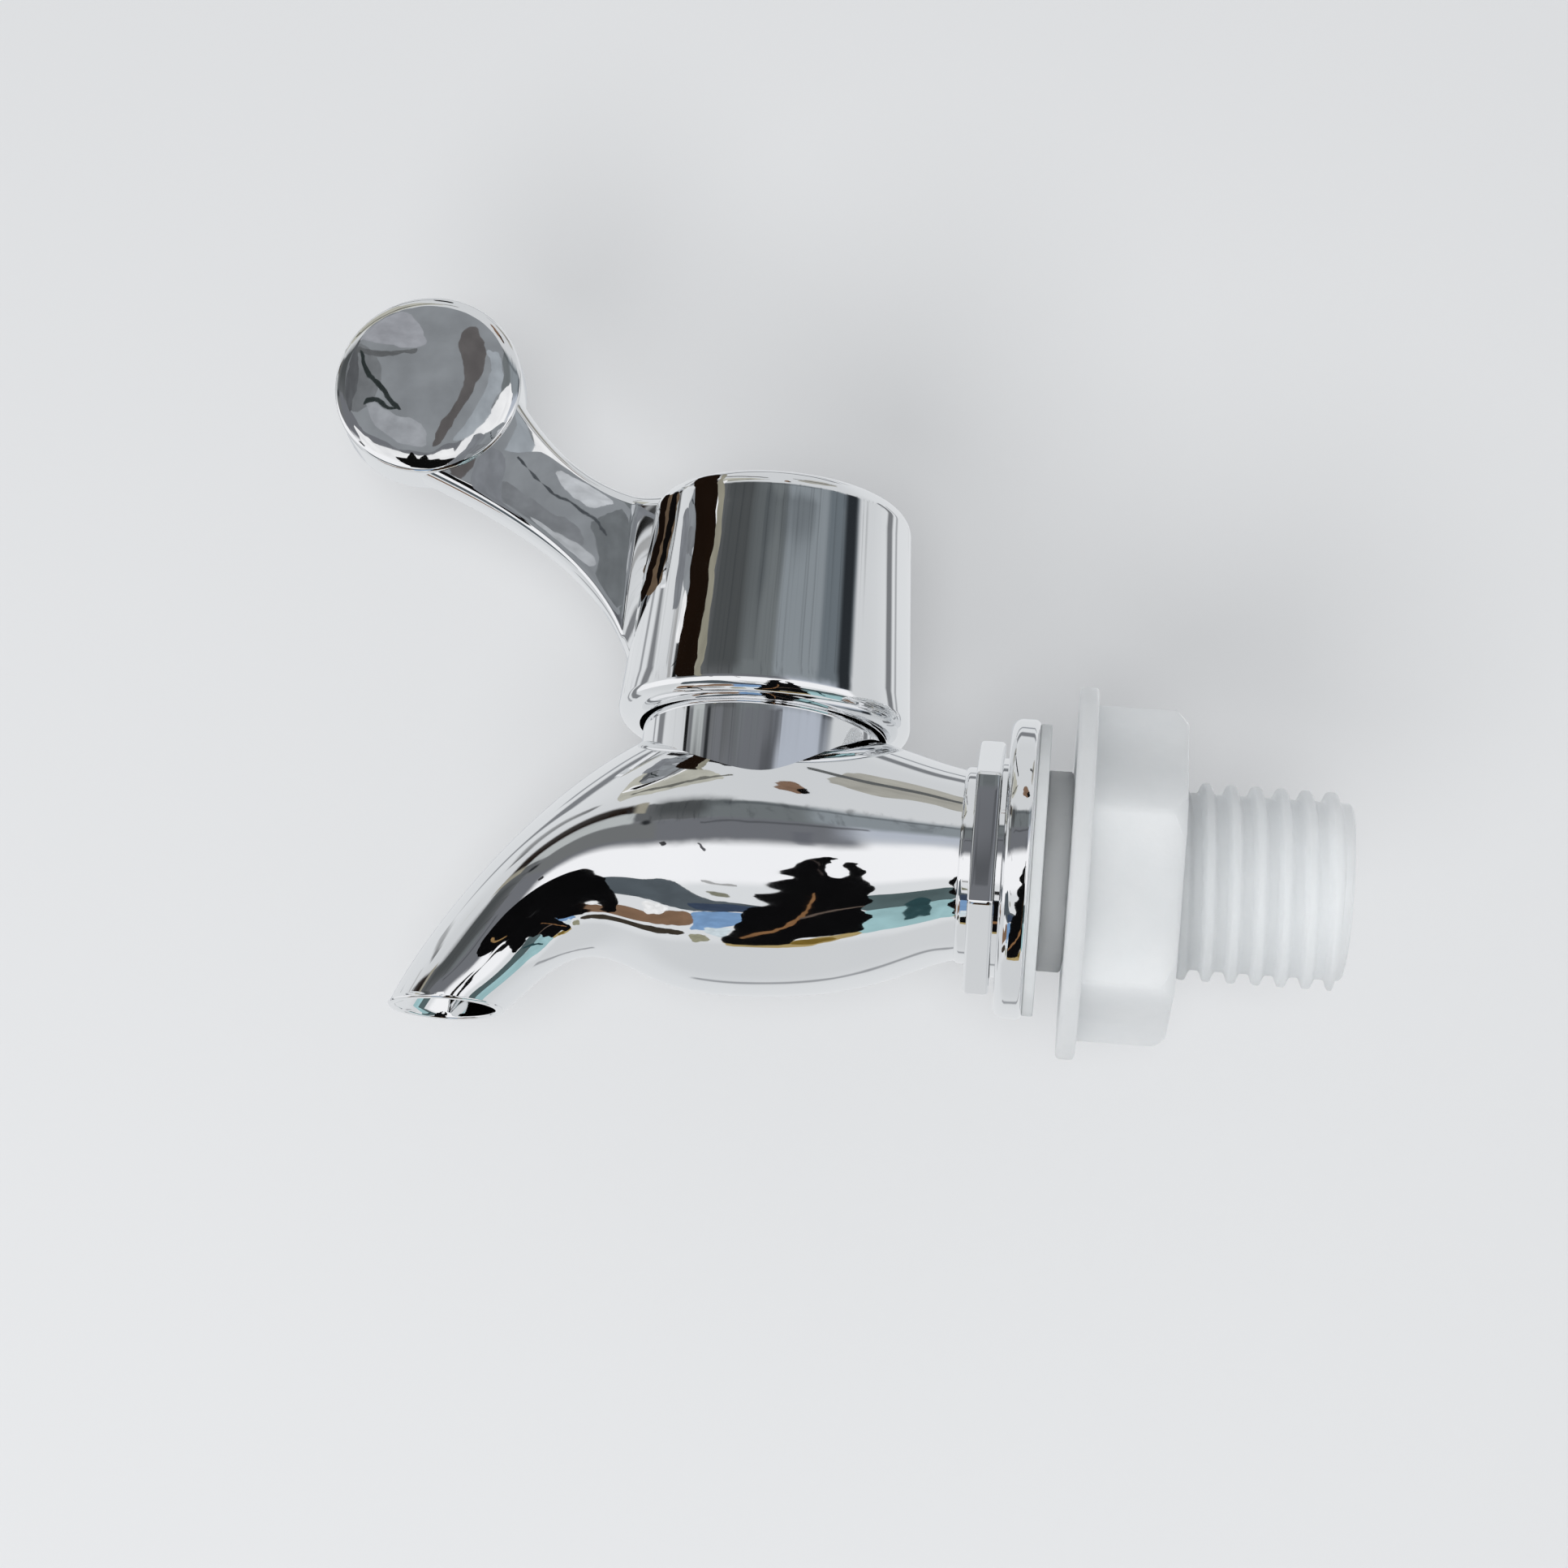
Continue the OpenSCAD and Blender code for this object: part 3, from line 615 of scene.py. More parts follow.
def plastic_look(name, low, high, rough, sub=0.0, radius=0.004, scale=300, trans=0.0):
    mat, nodes, links, shader = material(name)
    tint = ramp(nodes, links, noise(nodes, links, scale, 3).outputs["Fac"], [(0.3, low), (0.7, high)])
    links.new(tint.outputs["Color"], shader.inputs["Base Color"])
    shader.inputs["Roughness"].default_value = rough
    shader.inputs["Subsurface Weight"].default_value = sub
    shader.inputs["Subsurface Scale"].default_value = radius
    shader.inputs["Subsurface Radius"].default_value = (1.0, 1.0, 1.0)
    shader.inputs["Transmission Weight"].default_value = trans
    shader.inputs["IOR"].default_value = 1.49
    bump(nodes, links, shader, noise(nodes, links, scale * 3, 2).outputs["Fac"], 0.15, 0.0002)
    return mat


def dress(piece, mat):
    piece.data.materials.clear()
    piece.data.materials.append(mat)


chrome = chrome_look()
natural = plastic_look("natural_plastic", (0.84, 0.875, 0.895), (0.88, 0.91, 0.93), 0.42, 1.0, 0.012, trans=0.25)
silicone = plastic_look("grey_silicone", (0.56, 0.575, 0.58), (0.61, 0.625, 0.63), 0.5, 0.4, 0.002)
seal_look = plastic_look("clear_silicone", (0.78, 0.80, 0.81), (0.83, 0.85, 0.86), 0.45, 0.5, 0.002)
rubber = plastic_look("black_rubber", (0.02, 0.02, 0.02), (0.035, 0.035, 0.035), 0.55)
white = plastic_look("white_plastic", (0.84, 0.84, 0.80), (0.88, 0.88, 0.85), 0.38, 0.2, 0.001)

for node, look in {"inlet_seal": seal_look, "shank_o_ring": rubber, "spindle_o_ring_lower": rubber,
                   "spindle_o_ring_upper": rubber, "valve_spindle": white, "slip_washer": white,
                   "gland_ring": white}.items():
    dress(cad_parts[node], look)

for piece, node, body, slot, look in (
        (body_piece(), "tap_body", "fixed", "plated_plastic", chrome),
        (handle_piece(), "handle", "lever", "plated_plastic", chrome),
        (shank_piece(), "inlet_shank", "fixed", "natural_plastic", natural),
        (nut_piece(), "lock_nut", "nut", "natural_plastic", natural),
        (gasket_piece(), "flange_gasket", "fixed", "grey_silicone", silicone)):
    dress(piece, look)
    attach(piece, body)
    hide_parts(node)

# Backdrop: the pale surface behind the tap, seen from its front only
PLANE_NORMAL = Vector((0.083, -1.0, -0.073)).normalized()
PLANE_AWAY = 0.046


def make_backdrop():
    n = PLANE_NORMAL
    side = n.cross(Vector((0, 0, 1))).normalized()
    up = side.cross(n).normalized()
    mid = -n * PLANE_AWAY
    size = 1.5
    mesh = bpy.data.meshes.new("backdrop")
    mesh.from_pydata([tuple(mid + side * size * a + up * size * b) for a, b in ((-1, -1), (1, -1), (1, 1), (-1, 1))],
                     [], [(0, 1, 2, 3)])
    if mesh.polygons[0].normal.dot(n) < 0:
        mesh.flip_normals()
    obj = bpy.data.objects.new("backdrop", mesh)
    scene.collection.objects.link(obj)
    obj.visible_glossy = False
    obj.visible_shadow = False
    mat = bpy.data.materials.new("backdrop")
    mat.use_nodes = True
    nodes, links = mat.node_tree.nodes, mat.node_tree.links
    nodes.clear()
    out = nodes.new("ShaderNodeOutputMaterial")
    geo = nodes.new("ShaderNodeNewGeometry")
    pale = nodes.new("ShaderNodeBsdfDiffuse")
    tone = ramp(nodes, links, noise(nodes, links, 3, 2).outputs["Fac"],
                [(0.3, (0.660, 0.663, 0.669)), (0.7, (0.677, 0.680, 0.686))])
    links.new(tone.outputs["Color"], pale.inputs["Color"])
    clear = nodes.new("ShaderNodeBsdfTransparent")
    mix = nodes.new("ShaderNodeMixShader")
    links.new(geo.outputs["Backfacing"], mix.inputs["Fac"])
    links.new(pale.outputs[0], mix.inputs[1])
    links.new(clear.outputs[0], mix.inputs[2])
    links.new(mix.outputs[0], out.inputs["Surface"])
    mesh.materials.append(mat)
    return obj


make_backdrop()


def lamp(name, place, aim, size, power, colour=(1, 1, 1)):
    data = bpy.data.lights.new(name, "AREA")
    data.shape, data.size, data.energy, data.color = "DISK", size, power, colour
    obj = bpy.data.objects.new(name, data)
    scene.collection.objects.link(obj)
    obj.location = place
    obj.rotation_mode = "QUATERNION"
    obj.rotation_quaternion = (Vector(aim) - Vector(place)).to_track_quat("-Z", "Y")
    obj.visible_glossy = False
    return obj


lamp("key_lamp", (-0.14, -0.66, -0.50), (-0.005, 0, 0), 0.4, 2.5)
lamp("front_lamp", (0.03, -0.84, -0.24), (0, 0, 0), 0.22, 2.6)
lamp("rear_lamp", (0.25, 0.8, 0.35), (-0.02, 0, 0), 0.5, 2.2)


# Studio that the plating mirrors, seen only by glossy rays, so these patches are painted reflections; laid out in
# degrees round the direction from the tap to the camera
def tone(r, g, b):
    """Linear colour of a screen colour from 0 to 255."""
    return tuple(((v / 255 + 0.055) / 1.055) ** 2.4 if v > 10 else v / 255 / 12.92 for v in (r, g, b))


class Sums:
    """Short way to write sums of node values."""

    def __init__(self, tree):
        self.nodes, self.links = tree.nodes, tree.links

    def put(self, socket, value):
        if isinstance(value, (int, float)):
            socket.default_value = value
        elif isinstance(value, tuple):
            socket.default_value = value if len(value) != 3 or len(socket.default_value) == 3 else (*value, 1)
        else:
            self.links.new(value, socket)

    def math(self, kind, *values):
        node = self.nodes.new("ShaderNodeMath")
        node.operation = kind
        for socket, value in zip(node.inputs, values):
            self.put(socket, value)
        return node.outputs[0]

    def dot(self, socket, vector):
        node = self.nodes.new("ShaderNodeVectorMath")
        node.operation = "DOT_PRODUCT"
        self.links.new(socket, node.inputs[0])
        node.inputs[1].default_value = tuple(vector)
        return node.outputs["Value"]

    def step(self, value, low, high):
        node = self.nodes.new("ShaderNodeMapRange")
        node.interpolation_type = "SMOOTHSTEP"
        self.put(node.inputs["Value"], value)
        self.put(node.inputs["From Min"], low)
        self.put(node.inputs["From Max"], high)
        return node.outputs["Result"]

    def mix(self, mask, below, above):
        node = self.nodes.new("ShaderNodeMix")
        node.data_type = "RGBA"
        self.put(node.inputs["Factor"], mask)
        self.put(node.inputs["A"] if False else node.inputs[6], below)
        self.put(node.inputs[7], above)
        return node.outputs[2]


def patch_group():
    """Mask of a soft oval or box: centre, turn, half sizes and edge width in degrees."""
    group = bpy.data.node_groups.new("studio_patch", "ShaderNodeTree")
    names = ("x", "y", "cx", "cy", "cos", "sin", "half_w", "half_h", "soft", "oval")
    for n in names:
        group.interface.new_socket(n, in_out="INPUT", socket_type="NodeSocketFloat")
    group.interface.new_socket("mask", in_out="OUTPUT", socket_type="NodeSocketFloat")
    s = Sums(group)
    inp, out = s.nodes.new("NodeGroupInput"), s.nodes.new("NodeGroupOutput")
    i = {n: inp.outputs[k] for k, n in enumerate(names)}
    dx, dy = s.math("SUBTRACT", i["x"], i["cx"]), s.math("SUBTRACT", i["y"], i["cy"])
    px = s.math("ADD", s.math("MULTIPLY", dx, i["cos"]), s.math("MULTIPLY", dy, i["sin"]))
    py = s.math("SUBTRACT", s.math("MULTIPLY", dy, i["cos"]), s.math("MULTIPLY", dx, i["sin"]))
    ax, ay = s.math("ABSOLUTE", px), s.math("ABSOLUTE", py)
    low = s.math("MULTIPLY", i["soft"], -0.5)
    high = s.math("MULTIPLY", i["soft"], 0.5)
    box = s.math("MULTIPLY", s.step(s.math("SUBTRACT", i["half_w"], ax), low, high),
                 s.step(s.math("SUBTRACT", i["half_h"], ay), low, high))
    qx, qy = s.math("DIVIDE", ax, i["half_w"]), s.math("DIVIDE", ay, i["half_h"])
    far = s.math("SQRT", s.math("ADD", s.math("MULTIPLY", qx, qx), s.math("MULTIPLY", qy, qy)))
    least = s.math("MINIMUM", i["half_w"], i["half_h"])
    oval = s.step(s.math("MULTIPLY", s.math("SUBTRACT", 1.0, far), least), low, high)
    both = s.math("ADD", s.math("MULTIPLY", box, s.math("SUBTRACT", 1.0, i["oval"])), s.math("MULTIPLY", oval, i["oval"]))
    s.links.new(both, out.inputs["mask"])
    return group


# centre x, centre y, half width, half height, turn, edge width, oval or not, strength, screen colour
BOX, OVAL = 0.0, 1.0
FRONT = (
    (-25, 0, 95, 20, 0, 7, BOX, 1, (252, 252, 254)),
    (-5, -42, 62, 26, 0, 8, BOX, 1, (226, 228, 230)),
    (-28, 26, 46, 11, 0, 8, BOX, 1, (113, 115, 120)),
    (-60, 27, 13, 7.5, 0, 4, BOX, 1, (114, 116, 117)),
    (42, 28, 27, 9, -5, 14, BOX, 1, (184, 190, 201)),
    (-40, 41.4, 20, 7, -2, 2, BOX, 1, (100, 102, 104)),
    (-8, 40.2, 17, 6.8, -4, 2.5, BOX, 1, (114, 119, 121)),
    (27, 37.6, 20, 6.6, -6, 5, BOX, 1, (140, 147, 152)),
    (58, 33.6, 15, 6.6, -12, 6, BOX, 1, (108, 116, 122)),
    (-34, 44, 14, 6, -3, 10, BOX, 0.9, (74, 77, 78)),
    (-14, 46, 7, 3, -4, 5, BOX, 0.6, (84, 88, 90)),
    (12, 43.2, 24, 0.8, -5, 1.4, BOX, 0.5, (74, 79, 83)),
    (-2, 30.4, 22, 0.7, 0, 1.4, BOX, 0.8, (80, 82, 86)),
    (4, 20, 2, 5, 0, 2, BOX, 0.5, (96, 98, 106)),
    (66, 32, 6, 9, 0, 6, BOX, 1, (42, 46, 50)),
    (-63, 38.6, 6, 4.6, 0, 2, BOX, 1, (186, 190, 190)),
    (-51.5, 34, 2.2, 1.8, 0, 2, OVAL, 1, (44, 46, 48)),
    (-55, 46.4, 2.6, 4.2, -3, 1.5, BOX, 1, (156, 152, 138)),
    (-65, 47.0, 7.6, 3.8, -3, 3, BOX, 1, (30, 20, 13)),
    (-75.5, 42, 2.2, 9, -2, 2, BOX, 1, (13, 13, 12)),
    (-79, 64.5, 11, 1.3, -27, 1.6, BOX, 1, (26, 26, 24)),
    (-82, 47, 1.8, 12, 0, 1.5, BOX, 0.9, (158, 158, 158)),
)
BACK = (
    (0, 0, 70, 60, 0, 30, BOX, 0.5, (236, 238, 240)),
    (-12, 51, 40, 3.5, 8, 3, BOX, 0.85, (98, 101, 106)),
    (-8, 40, 30, 1.4, 5, 2, BOX, 0.8, (126, 130, 136)),
    (20, -60, 34, 2, -6, 3, BOX, 0.8, (136, 138, 142)),
    (-58, -2, 4, 30, 6, 3, BOX, 0.85, (102, 104, 108)),
    (-48, 0, 1.5, 26, 5, 2, BOX, 0.8, (134, 136, 140)),
    (60, 4, 3.5, 30, -8, 3, BOX, 0.85, (92, 94, 98)),
    (51, 2, 1.4, 26, -6, 2, BOX, 0.7, (134, 136, 140)),
    (-4, 4, 14, 7, 12, 4, OVAL, 0.8, (190, 194, 199)),
)
# Cards of the studio, glowing shapes seen only in reflections (painted reflections): screen colour, then corners in the
# same degrees
CARDS = (
    ((84, 100, 102), ((18, -26), (34, -27), (60, -24), (84, -22), (84, -34), (60, -36), (37, -40), (18, -40))),
    ((160, 196, 200), ((18, -40), (37, -40), (62, -36), (84, -34), (84, -46), (62, -50), (42, -62), (14, -61))),
    ((44, 70, 74), ((31, -30), (33, -30), (34, -55), (32, -55))),
    ((86, 94, 100), ((-66, -13), (-52, -14), (-44, -12), (-35, -15), (-28, -22), (-20, -28), (-10, -31), (-3, -34), (-8, -39),
                     (-20, -39), (-30, -38), (-40, -35), (-50, -31), (-66, -30))),
    ((60, 72, 92), ((-30, -32), (-20, -32.5), (-4, -34), (-4, -39), (-22, -38.5))),
    ((130, 103, 82), ((-66, -38), (-50, -44), (-40, -39), (-30, -39), (-26, -42), (-24, -48), (-28, -52), (-40, -52), (-66, -54))),
    ((246, 246, 246), ((-54, -32), (-44, -34), (-39, -37), (-44, -43), (-54, -45))),
    ((124, 158, 198), ((-27, -39.5), (-5, -39.5), (-5, -46), (-11, -52), (-20, -56), (-28, -56), (-25, -48))),
    ((210, 222, 228), ((-20, -53), (-10, -53), (-13, -63), (-20, -58))),
    ((60, 54, 46), ((-66, -56), (-45, -56), (-32, -57), (-30, -60), (-40, -62), (-66, -60))),
    ((152, 150, 128), ((-29, -60), (-20, -60), (-17, -66), (-26, -69))),
    ((172, 152, 104), ((-14, -66), (-2, -66), (8, -62), (20, -59), (22, -62), (12, -67), (0, -72), (-12, -71))),
    ((120, 98, 44), ((2, -64), (12, -62.5), (14, -65), (6, -69), (0, -68))),
    ((12, 12, 13), ((1, -2), (3, 3), (5, 5), (9, 7), (12, 5.5), (9.5, 4), (10, 2), (8.5, 1), (8, -4), (9, -9), (12, -10.5),
                    (14.5, -8), (14, -3), (12.5, 0), (13.5, 3), (17, 2), (16, 0), (19.5, -5), (17.5, -10), (22.5, -20),
                    (20, -26), (22.5, -32), (18.5, -38), (24, -46), (20.5, -52), (22, -59), (12, -61), (2, -62), (0, -69),
                    (-12, -69), (-14, -63), (-10, -56), (-8, -46), (-7, -36), (-3, -32), (-5.5, -24), (-1, -21), (-3.5, -15),
                    (1.5, -10), (-1.5, -7))),
    ((134, 98, 66), ((-8, -63), (-1, -53), (3, -42), (5, -31), (5.6, -22), (4.9, -22), (4.1, -31), (1.9, -42), (-2, -53), (-9, -62))),
    ((98, 86, 78), ((2, -43), (8, -38), (14, -36), (20, -35), (20, -35.8), (14, -37), (8, -39.4), (2, -44.4))),
    ((54, 48, 46), ((7, -8), (7.6, -8), (7, 2), (5, 4.4), (4.6, 4), (6.4, 1))),
    ((172, 172, 172), ((-22, -13), (-8, -17), (-8, -18.8), (-21, -15.5))),
    ((128, 128, 112), ((-20, -22), (-11, -24), (-10, -27.5), (-16, -26))),
    ((60, 60, 62), ((-45, 16), (-42, 17), (-40.5, 14.5), (-43, 13))),
    ((90, 90, 94), ((-25, 14.5), (-23, 14), (-19.5, 9), (-20.5, 7.5), (-22.5, 10))),
    ((130, 104, 86), ((3, 58), (4, 64), (7, 66), (9, 60), (7, 55))),
    ((14, 12, 12), ((6.5, 59), (9, 61), (9.5, 57), (7.5, 55.5))),
    ((188, 187, 176), ((-66, 56), (-52, 58), (-40, 60), (-25, 62), (-12, 64), (-18, 70), (-30, 75), (-44, 80), (-62, 82))),
    ((112, 112, 106), ((-62, 60), (-50, 61), (-36, 63), (-20, 65.5), (-8, 67), (-9, 68.2), (-20, 67.4), (-36, 65), (-60, 62))),
    ((172, 170, 162), ((14, 70), (26, 63), (40, 66), (52, 74), (40, 86), (24, 84))),
    ((98, 100, 100), ((12, 79), (26, 74), (40, 76), (50, 80), (50, 82), (40, 79), (26, 77), (12, 82))),
    ((28, 28, 28), ((-53, 97), (-48, 99), (-8, 78), (-10, 75))),
)
# Cards close to one part of the tap, so that their painted reflections fall on that part: centre in the frame,
# distance, then screen colour and corners of each
NEAR = (
    ((-0.0237, 0, 0.020), 0.018, (
        ((26, 17, 11), ((-45, 88), (-47, 60), (-50, 42), (-53, 25), (-53, 5), (-46, -11), (-32.5, -13), (-38, 0), (-39, 20),
                        (-36, 38), (-32.5, 54), (-28, 80))),
        ((150, 147, 132), ((-27.5, 80), (-32.5, 54), (-36.4, 38), (-39, 20), (-38.4, 0), (-32.5, -13.5), (-29.5, -13.5),
                           (-34.5, 5), (-34.8, 29), (-29.6, 50), (-25, 70))),
    )),
    ((-0.042, 0, -0.001), 0.014, (
        ((10, 10, 11), ((-13, -6), (-18, -14), (-18, -27), (-14, -33), (-6, -33.5), (-1, -31.5), (3, -38), (8, -47), (10.5, -44),
                        (9, -36), (4, -29), (0, -24), (-7, -14))),
        ((150, 120, 80), ((-12, -22), (-8, -27), (-2, -29), (-2, -29.7), (-8, -28), (-12.4, -23))),)),
    ((-0.054, -0.002, 0.038), 0.022, (
        ((250, 250, 252), ((-1, 11), (10, 22), (18, 34), (25, 36), (36, 26), (32, 0), (12, -12), (-7, -5))),
        ((138, 142, 146), ((-51, 47), (-50, 27), (-40, 14.5), (-25, 8.5), (-12.5, 7.5), (-0.5, 13), (10.5, 23),
                         (18.5, 37.5), (19, 52), (11.5, 64.5), (-5, 70), (-30.5, 70.5), (-47.5, 63))),
        ((118, 121, 124), ((-51, 50), (-50, 26), (-44, 21), (-37, 27), (-34, 37), (-36, 46), (-43, 51))),
        ((90, 92, 95), ((-51, 53), (-50, 27), (-46, 20), (-44, 33), (-45, 47), (-47.5, 58.5))),
        ((250, 250, 252), ((-49, 13), (-40, 12.5), (-25, 7), (-13, 6), (-0.5, 10.5), (-7, -6), (-25.5, -9.5),
                         (-49.5, -4.5))),
        ((158, 160, 166), ((-48, 53), (-39, 52.5), (-20.5, 51.5), (-14.5, 54), (-17.5, 61), (-23, 66.5),
                         (-38.5, 66), (-49, 58.5))),
        ((160, 163, 168), ((-41, 29), (-36.5, 17.5), (-25, 10.5), (-14, 9.5), (-14, 16.5), (-20, 22),
                         (-30.5, 23.5))),
        ((160, 166, 172), ((11, 51.5), (14, 43), (10.5, 33), (4.5, 23), (-3.5, 12.5), (2.5, 13), (12, 21.5),
                         (18.5, 34.5), (18, 49))),
        ((96, 93, 93), ((1, 60), (7.5, 61.5), (11.5, 53), (10, 41.5), (4.5, 31.5), (-1.5, 23), (-8, 11),
                         (-12, 9.5), (-8, 21), (-1.5, 30), (1.5, 37), (1, 45.5), (-1.5, 54))),
        ((98, 100, 102), ((-47, 47), (-40, 46.5), (-30, 48), (-20, 49.5), (-19, 52), (-22, 51.3), (-31, 49.8), (-40, 49), (-46, 49.8))),
        ((46, 52, 52), ((-45.5, 48.5), (-43.5, 47.5), (-40, 39), (-34.5, 35.5), (-29.5, 29), (-25, 25),
                         (-26.5, 24.5), (-32, 28.5), (-36.5, 34), (-42, 37.5))),
        ((46, 52, 52), ((-42, 24.5), (-41, 28), (-35.5, 29), (-31, 25.5), (-26, 25.5), (-31, 24), (-36.5, 27),
                         (-39.5, 26))),
        ((14, 14, 14), ((-28, 0), (-22, 3), (-20, 7), (-17, 3), (-14, 6), (-12, 2), (-8, 3), (-5, -3), (4, -6), (0, -20), (-2, -30),
                        (-8, -39), (-13, -30), (-17, -24), (-24, -16))),
    )),
    ((-0.0405, -0.002, 0.0265), 0.014, (
        ((141, 145, 149), ((-50, 61), (-25, 63), (9, 60), (9, 10), (0, -2), (-12, 0), (-30, 15), (-50, 30))),
        ((126, 129, 133), ((-44, 50), (-30, 44), (-14, 38), (-8, 30), (-14, 24), (-30, 32), (-48, 38))),
        ((112, 116, 119), ((-7, 37), (-1, 40), (9, 44), (9, 6), (0, 2), (-6, 12), (-3, 24))),
        ((196, 199, 203), ((-21, 56), (-14, 56.5), (-7, 56), (0, 53), (5, 48.5), (4.5, 45.5), (-2, 43), (-7, 43),
                         (-13, 46.5), (-18, 51))),
        ((74, 78, 82), ((-38, 60.6), (-20, 47.4), (-8, 41.5), (-3, 38.4), (0.4, 32), (-0.6, 32), (-4, 37.6), (-9, 40.7),
                        (-21, 46.6), (-39, 59.6))),
        ((178, 181, 185), ((-32, 36), (-21, 33.5), (-11, 29), (-5, 24.5), (-4, 21), (-11, 20.5), (-22, 26.5),
                         (-31, 32.5))),
        ((128, 131, 136), ((-64, 14), (-46, 14), (-45, 40), (-44, 58), (-49, 62), (-60, 60))),)),
    ((-0.0152, -0.0045, 0.0245), 0.020, (
        ((100, 84, 68), ((-95, -12), (-98, 3), (-98.4, 22), (-97, 30), (-87.5, 31), (-88.7, 23), (-88.6, 6), (-86.5, -6),
                         (-88, -14))),
        ((22, 15, 11), ((-91.5, -20), (-94, -14), (-97.6, 3), (-98.4, 22), (-97.2, 31), (-92.8, 31), (-94, 22),
                        (-93.6, 4), (-90.5, -10), (-89, -17))),
        ((14, 13, 13), ((-86, -9), (-88, -2), (-89, 15), (-88.6, 24), (-87.6, 31), (-90.6, 31), (-92, 23),
                        (-92.3, 14), (-91.5, 5), (-89.5, -5))),)),
)
PALE = tone(214, 216, 218)


def streaks(s, colour, px, py):
    """Fine upright streaks in the grey band above the pale front."""
    place = s.nodes.new("ShaderNodeCombineXYZ")
    s.links.new(s.math("MULTIPLY", px, 0.5), place.inputs[0])
    s.links.new(s.math("MULTIPLY", py, 0.07), place.inputs[1])
    grain = s.nodes.new("ShaderNodeTexNoise")
    grain.inputs["Scale"].default_value = 1.0
    grain.inputs["Detail"].default_value = 4
    s.links.new(place.outputs[0], grain.inputs["Vector"])
    inside = s.math("MULTIPLY", s.step(py, 31.0, 35.0), s.step(s.math("MULTIPLY", py, -1.0), -49.0, -46.0))
    dark = s.step(grain.outputs["Fac"], 0.5, 0.75)
    return s.mix(s.math("MULTIPLY", s.math("MULTIPLY", dark, inside), 0.45), colour, tone(52, 55, 58))


def make_world():
    world = bpy.data.worlds.new("studio")
    scene.world = world
    world.use_nodes = True
    s = Sums(world.node_tree)
    plain = s.nodes["Background"]
    plain.inputs["Color"].default_value = (0.96, 0.98, 1.0, 1)
    plain.inputs["Strength"].default_value = 0.62
    axes = camera.matrix_world.to_3x3().transposed()
    where = s.nodes.new("ShaderNodeTexCoord").outputs["Generated"]
    x, y, c = s.dot(where, axes[0]), s.dot(where, axes[1]), s.dot(where, axes[2])
    flat = s.math("MAXIMUM", s.math("SQRT", s.math("ADD", s.math("MULTIPLY", x, x), s.math("MULTIPLY", y, y))), 1e-5)
    group = patch_group()
    colour = PALE
    for patches, facing in ((FRONT, c), (BACK, s.math("MULTIPLY", c, -1.0))):
        angle = s.math("MULTIPLY", s.math("ARCCOSINE", s.math("MINIMUM", s.math("MAXIMUM", facing, -1.0), 1.0)), 180 / math.pi)
        scale = s.math("DIVIDE", angle, flat)
        px, py = s.math("MULTIPLY", x, scale), s.math("MULTIPLY", y, scale)
        wave = s.nodes.new("ShaderNodeTexNoise")
        wave.inputs["Scale"].default_value = 7
        wave.inputs["Detail"].default_value = 3
        s.links.new(where, wave.inputs["Vector"])
        shift = s.math("MULTIPLY", s.math("SUBTRACT", wave.outputs["Fac"], 0.5), 3.0)
        px, py = s.math("ADD", px, shift), s.math("ADD", py, shift)
        for cx, cy, hw, hh, turn, soft, kind, strength, screen in patches:
            node = s.nodes.new("ShaderNodeGroup")
            node.node_tree = group
            a = math.radians(turn)
            for socket, value in zip(node.inputs, (px, py, cx, cy, math.cos(a), math.sin(a), hw, hh, soft, kind)):
                s.put(socket, value)
            colour = s.mix(s.math("MULTIPLY", node.outputs[0], strength), colour, tone(*screen))
        if patches is FRONT:
            colour = streaks(s, colour, px, py)
    mirrored = s.nodes.new("ShaderNodeBackground")
    s.put(mirrored.inputs["Color"], colour)
    shown = s.nodes.new("ShaderNodeBackground")
    shown.inputs["Color"].default_value = (*PALE, 1)
    path = s.nodes.new("ShaderNodeLightPath")
    first, second = s.nodes.new("ShaderNodeMixShader"), s.nodes.new("ShaderNodeMixShader")
    s.links.new(path.outputs["Is Glossy Ray"], first.inputs["Fac"])
    s.links.new(plain.outputs[0], first.inputs[1])
    s.links.new(mirrored.outputs[0], first.inputs[2])
    s.links.new(path.outputs["Is Camera Ray"], second.inputs["Fac"])
    s.links.new(first.outputs[0], second.inputs[1])
    s.links.new(shown.outputs[0], second.inputs[2])
    s.links.new(second.outputs[0], s.nodes["World Output"].inputs["Surface"])


make_world()


def ragged_outline(points, rng):
    """Rounds a closed outline a little, then makes its edge uneven."""
    pts = np.asarray(points, float)
    ahead = np.roll(pts, -1, axis=0)
    pts = np.stack([pts * 0.84 + ahead * 0.16, pts * 0.16 + ahead * 0.84], 1).reshape(-1, 2)
    for amount in (0.07, 0.06):
        ahead = np.roll(pts, -1, axis=0)
        step = ahead - pts
        across = np.stack([-step[:, 1], step[:, 0]], 1) * rng.normal(0, amount, (len(pts), 1)).clip(-0.12, 0.12)
        pts = np.stack([pts, (pts + ahead) / 2 + across], 1).reshape(-1, 2)
    return pts


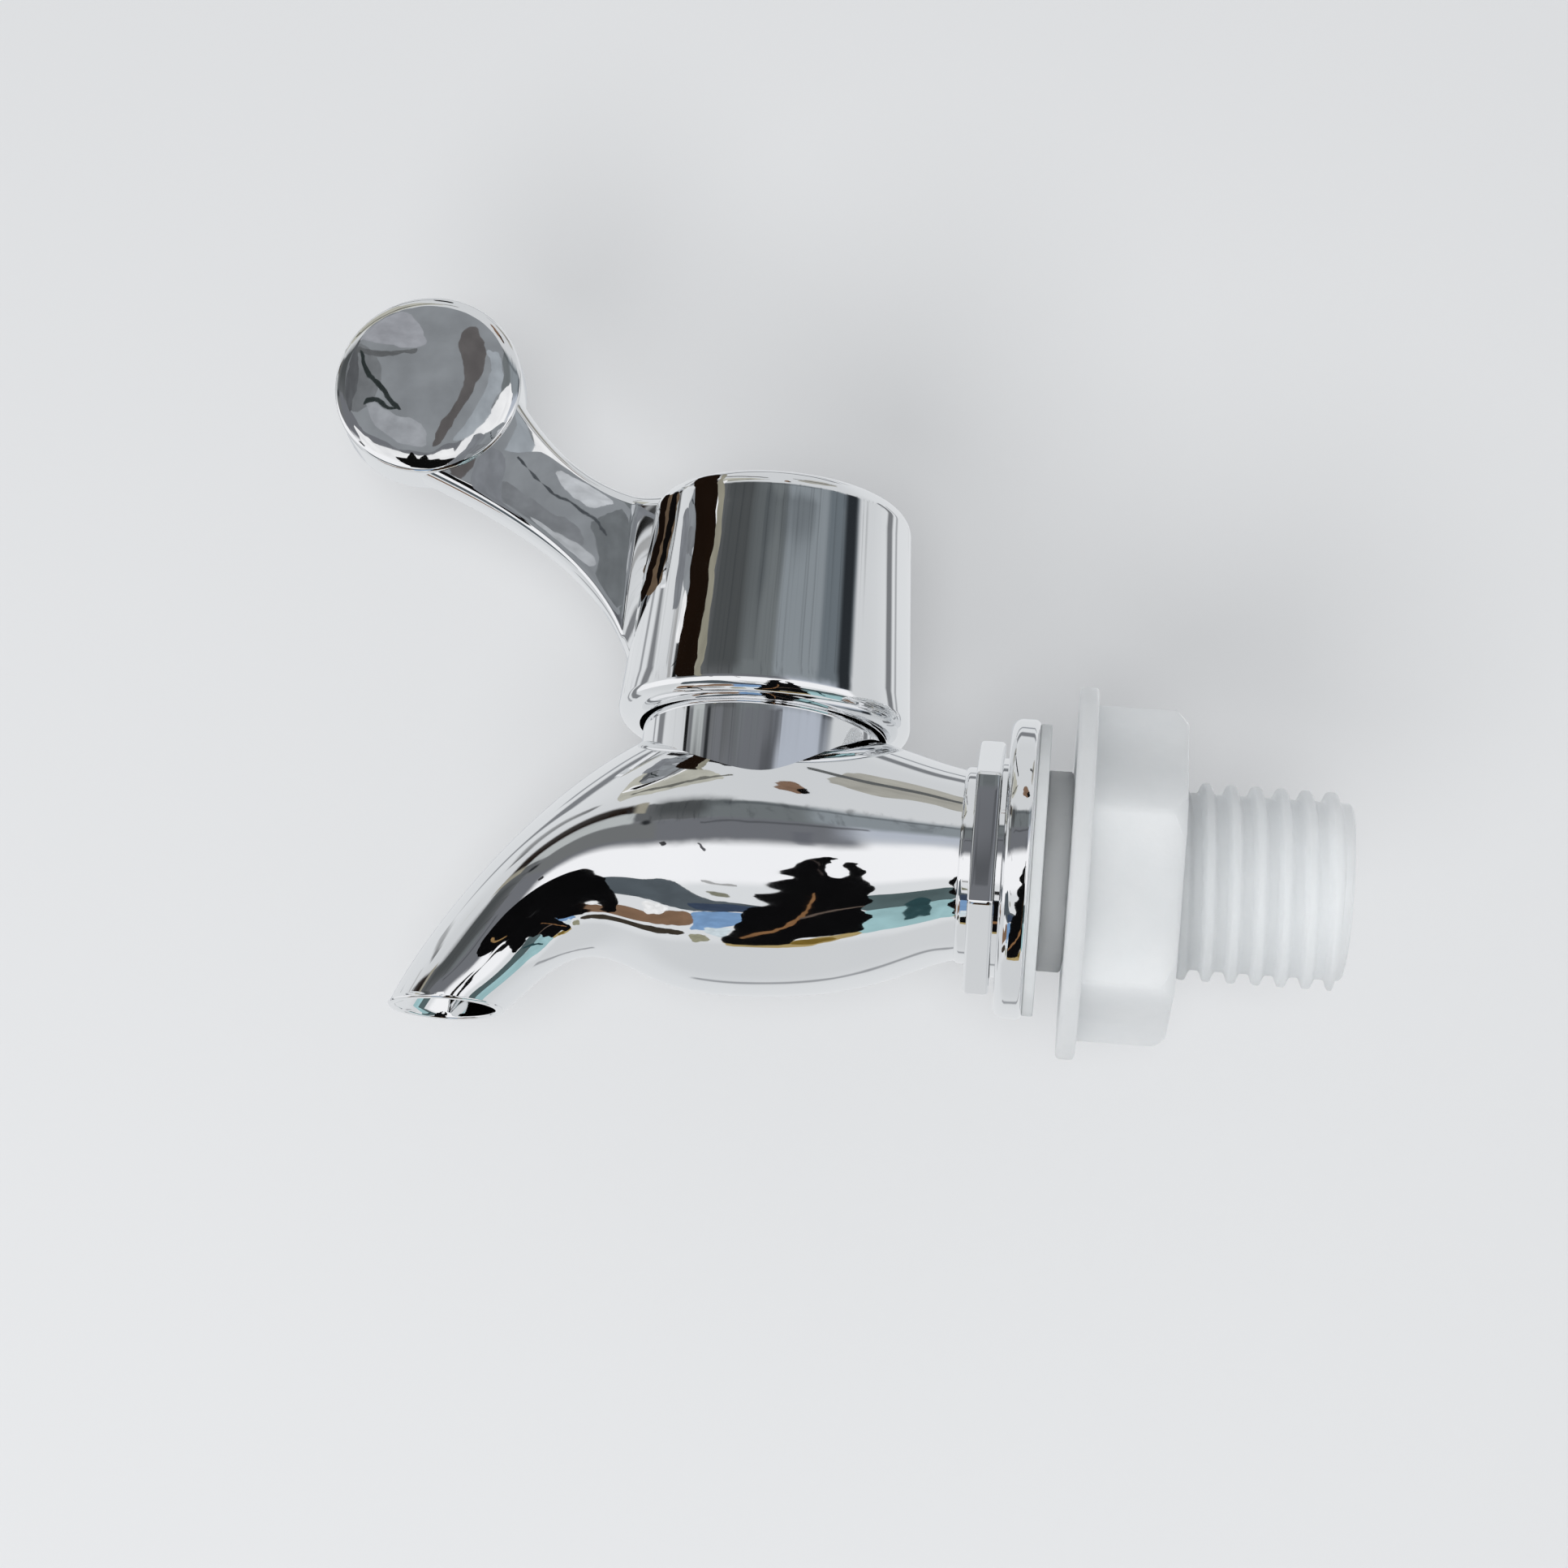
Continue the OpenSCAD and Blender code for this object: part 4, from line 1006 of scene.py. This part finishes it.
def make_card(name, screen, corners, centre, away, rng):
    """Glowing card on a sphere round centre that only reflections see."""
    right, up, back = camera.matrix_world.to_3x3().transposed()
    rim = ragged_outline(corners, rng)
    low, high = rim.min(axis=0), rim.max(axis=0)
    inner = [(x, y) for x in np.arange(low[0] + 1, high[0], 3.0) for y in np.arange(low[1] + 1, high[1], 3.0)]
    flat, _, tris = delaunay_2d_cdt([Vector(p) for p in list(rim) + inner], [], [list(range(len(rim)))], 1, 1e-4)[:3]
    points = []
    for x, y in flat:
        far = math.hypot(x, y)
        a = math.radians(far)
        d = back * math.cos(a) + (right * x + up * y) * (math.sin(a) / max(far, 1e-6))
        points.append(tuple(Vector(centre) + d * away))
    mesh = bpy.data.meshes.new(name)
    mesh.from_pydata(points, [], tris)
    obj = bpy.data.objects.new(name, mesh)
    scene.collection.objects.link(obj)
    mat = bpy.data.materials.new(name)
    mat.use_nodes = True
    nodes = mat.node_tree.nodes
    nodes.clear()
    glow = nodes.new("ShaderNodeEmission")
    place = nodes.new("ShaderNodeTexCoord")
    mottle = noise(nodes, mat.node_tree.links, 4, 4)
    mat.node_tree.links.new(place.outputs["Generated"], mottle.inputs["Vector"])
    shade = ramp(nodes, mat.node_tree.links, mottle.outputs["Fac"],
                 [(0.3, tone(*(v * 0.93 for v in screen))), (0.7, tone(*(min(v * 1.05, 255) for v in screen)))])
    mat.node_tree.links.new(shade.outputs["Color"], glow.inputs["Color"])
    out = nodes.new("ShaderNodeOutputMaterial")
    mat.node_tree.links.new(glow.outputs[0], out.inputs["Surface"])
    mesh.materials.append(mat)
    obj.visible_camera = obj.visible_diffuse = obj.visible_transmission = obj.visible_shadow = False


def make_cards():
    rng = np.random.default_rng(11)
    for k, (centre, away, cards) in enumerate((((-0.022, 0, 0), 0.6, CARDS),) + NEAR):
        for i, (screen, corners) in enumerate(cards):
            make_card(f"card_{k}_{i:02d}", screen, corners, centre, away * (1 - 0.006 * i), rng)


make_cards()

scene.view_settings.view_transform = "Standard"

bpy.context.view_layer.update()
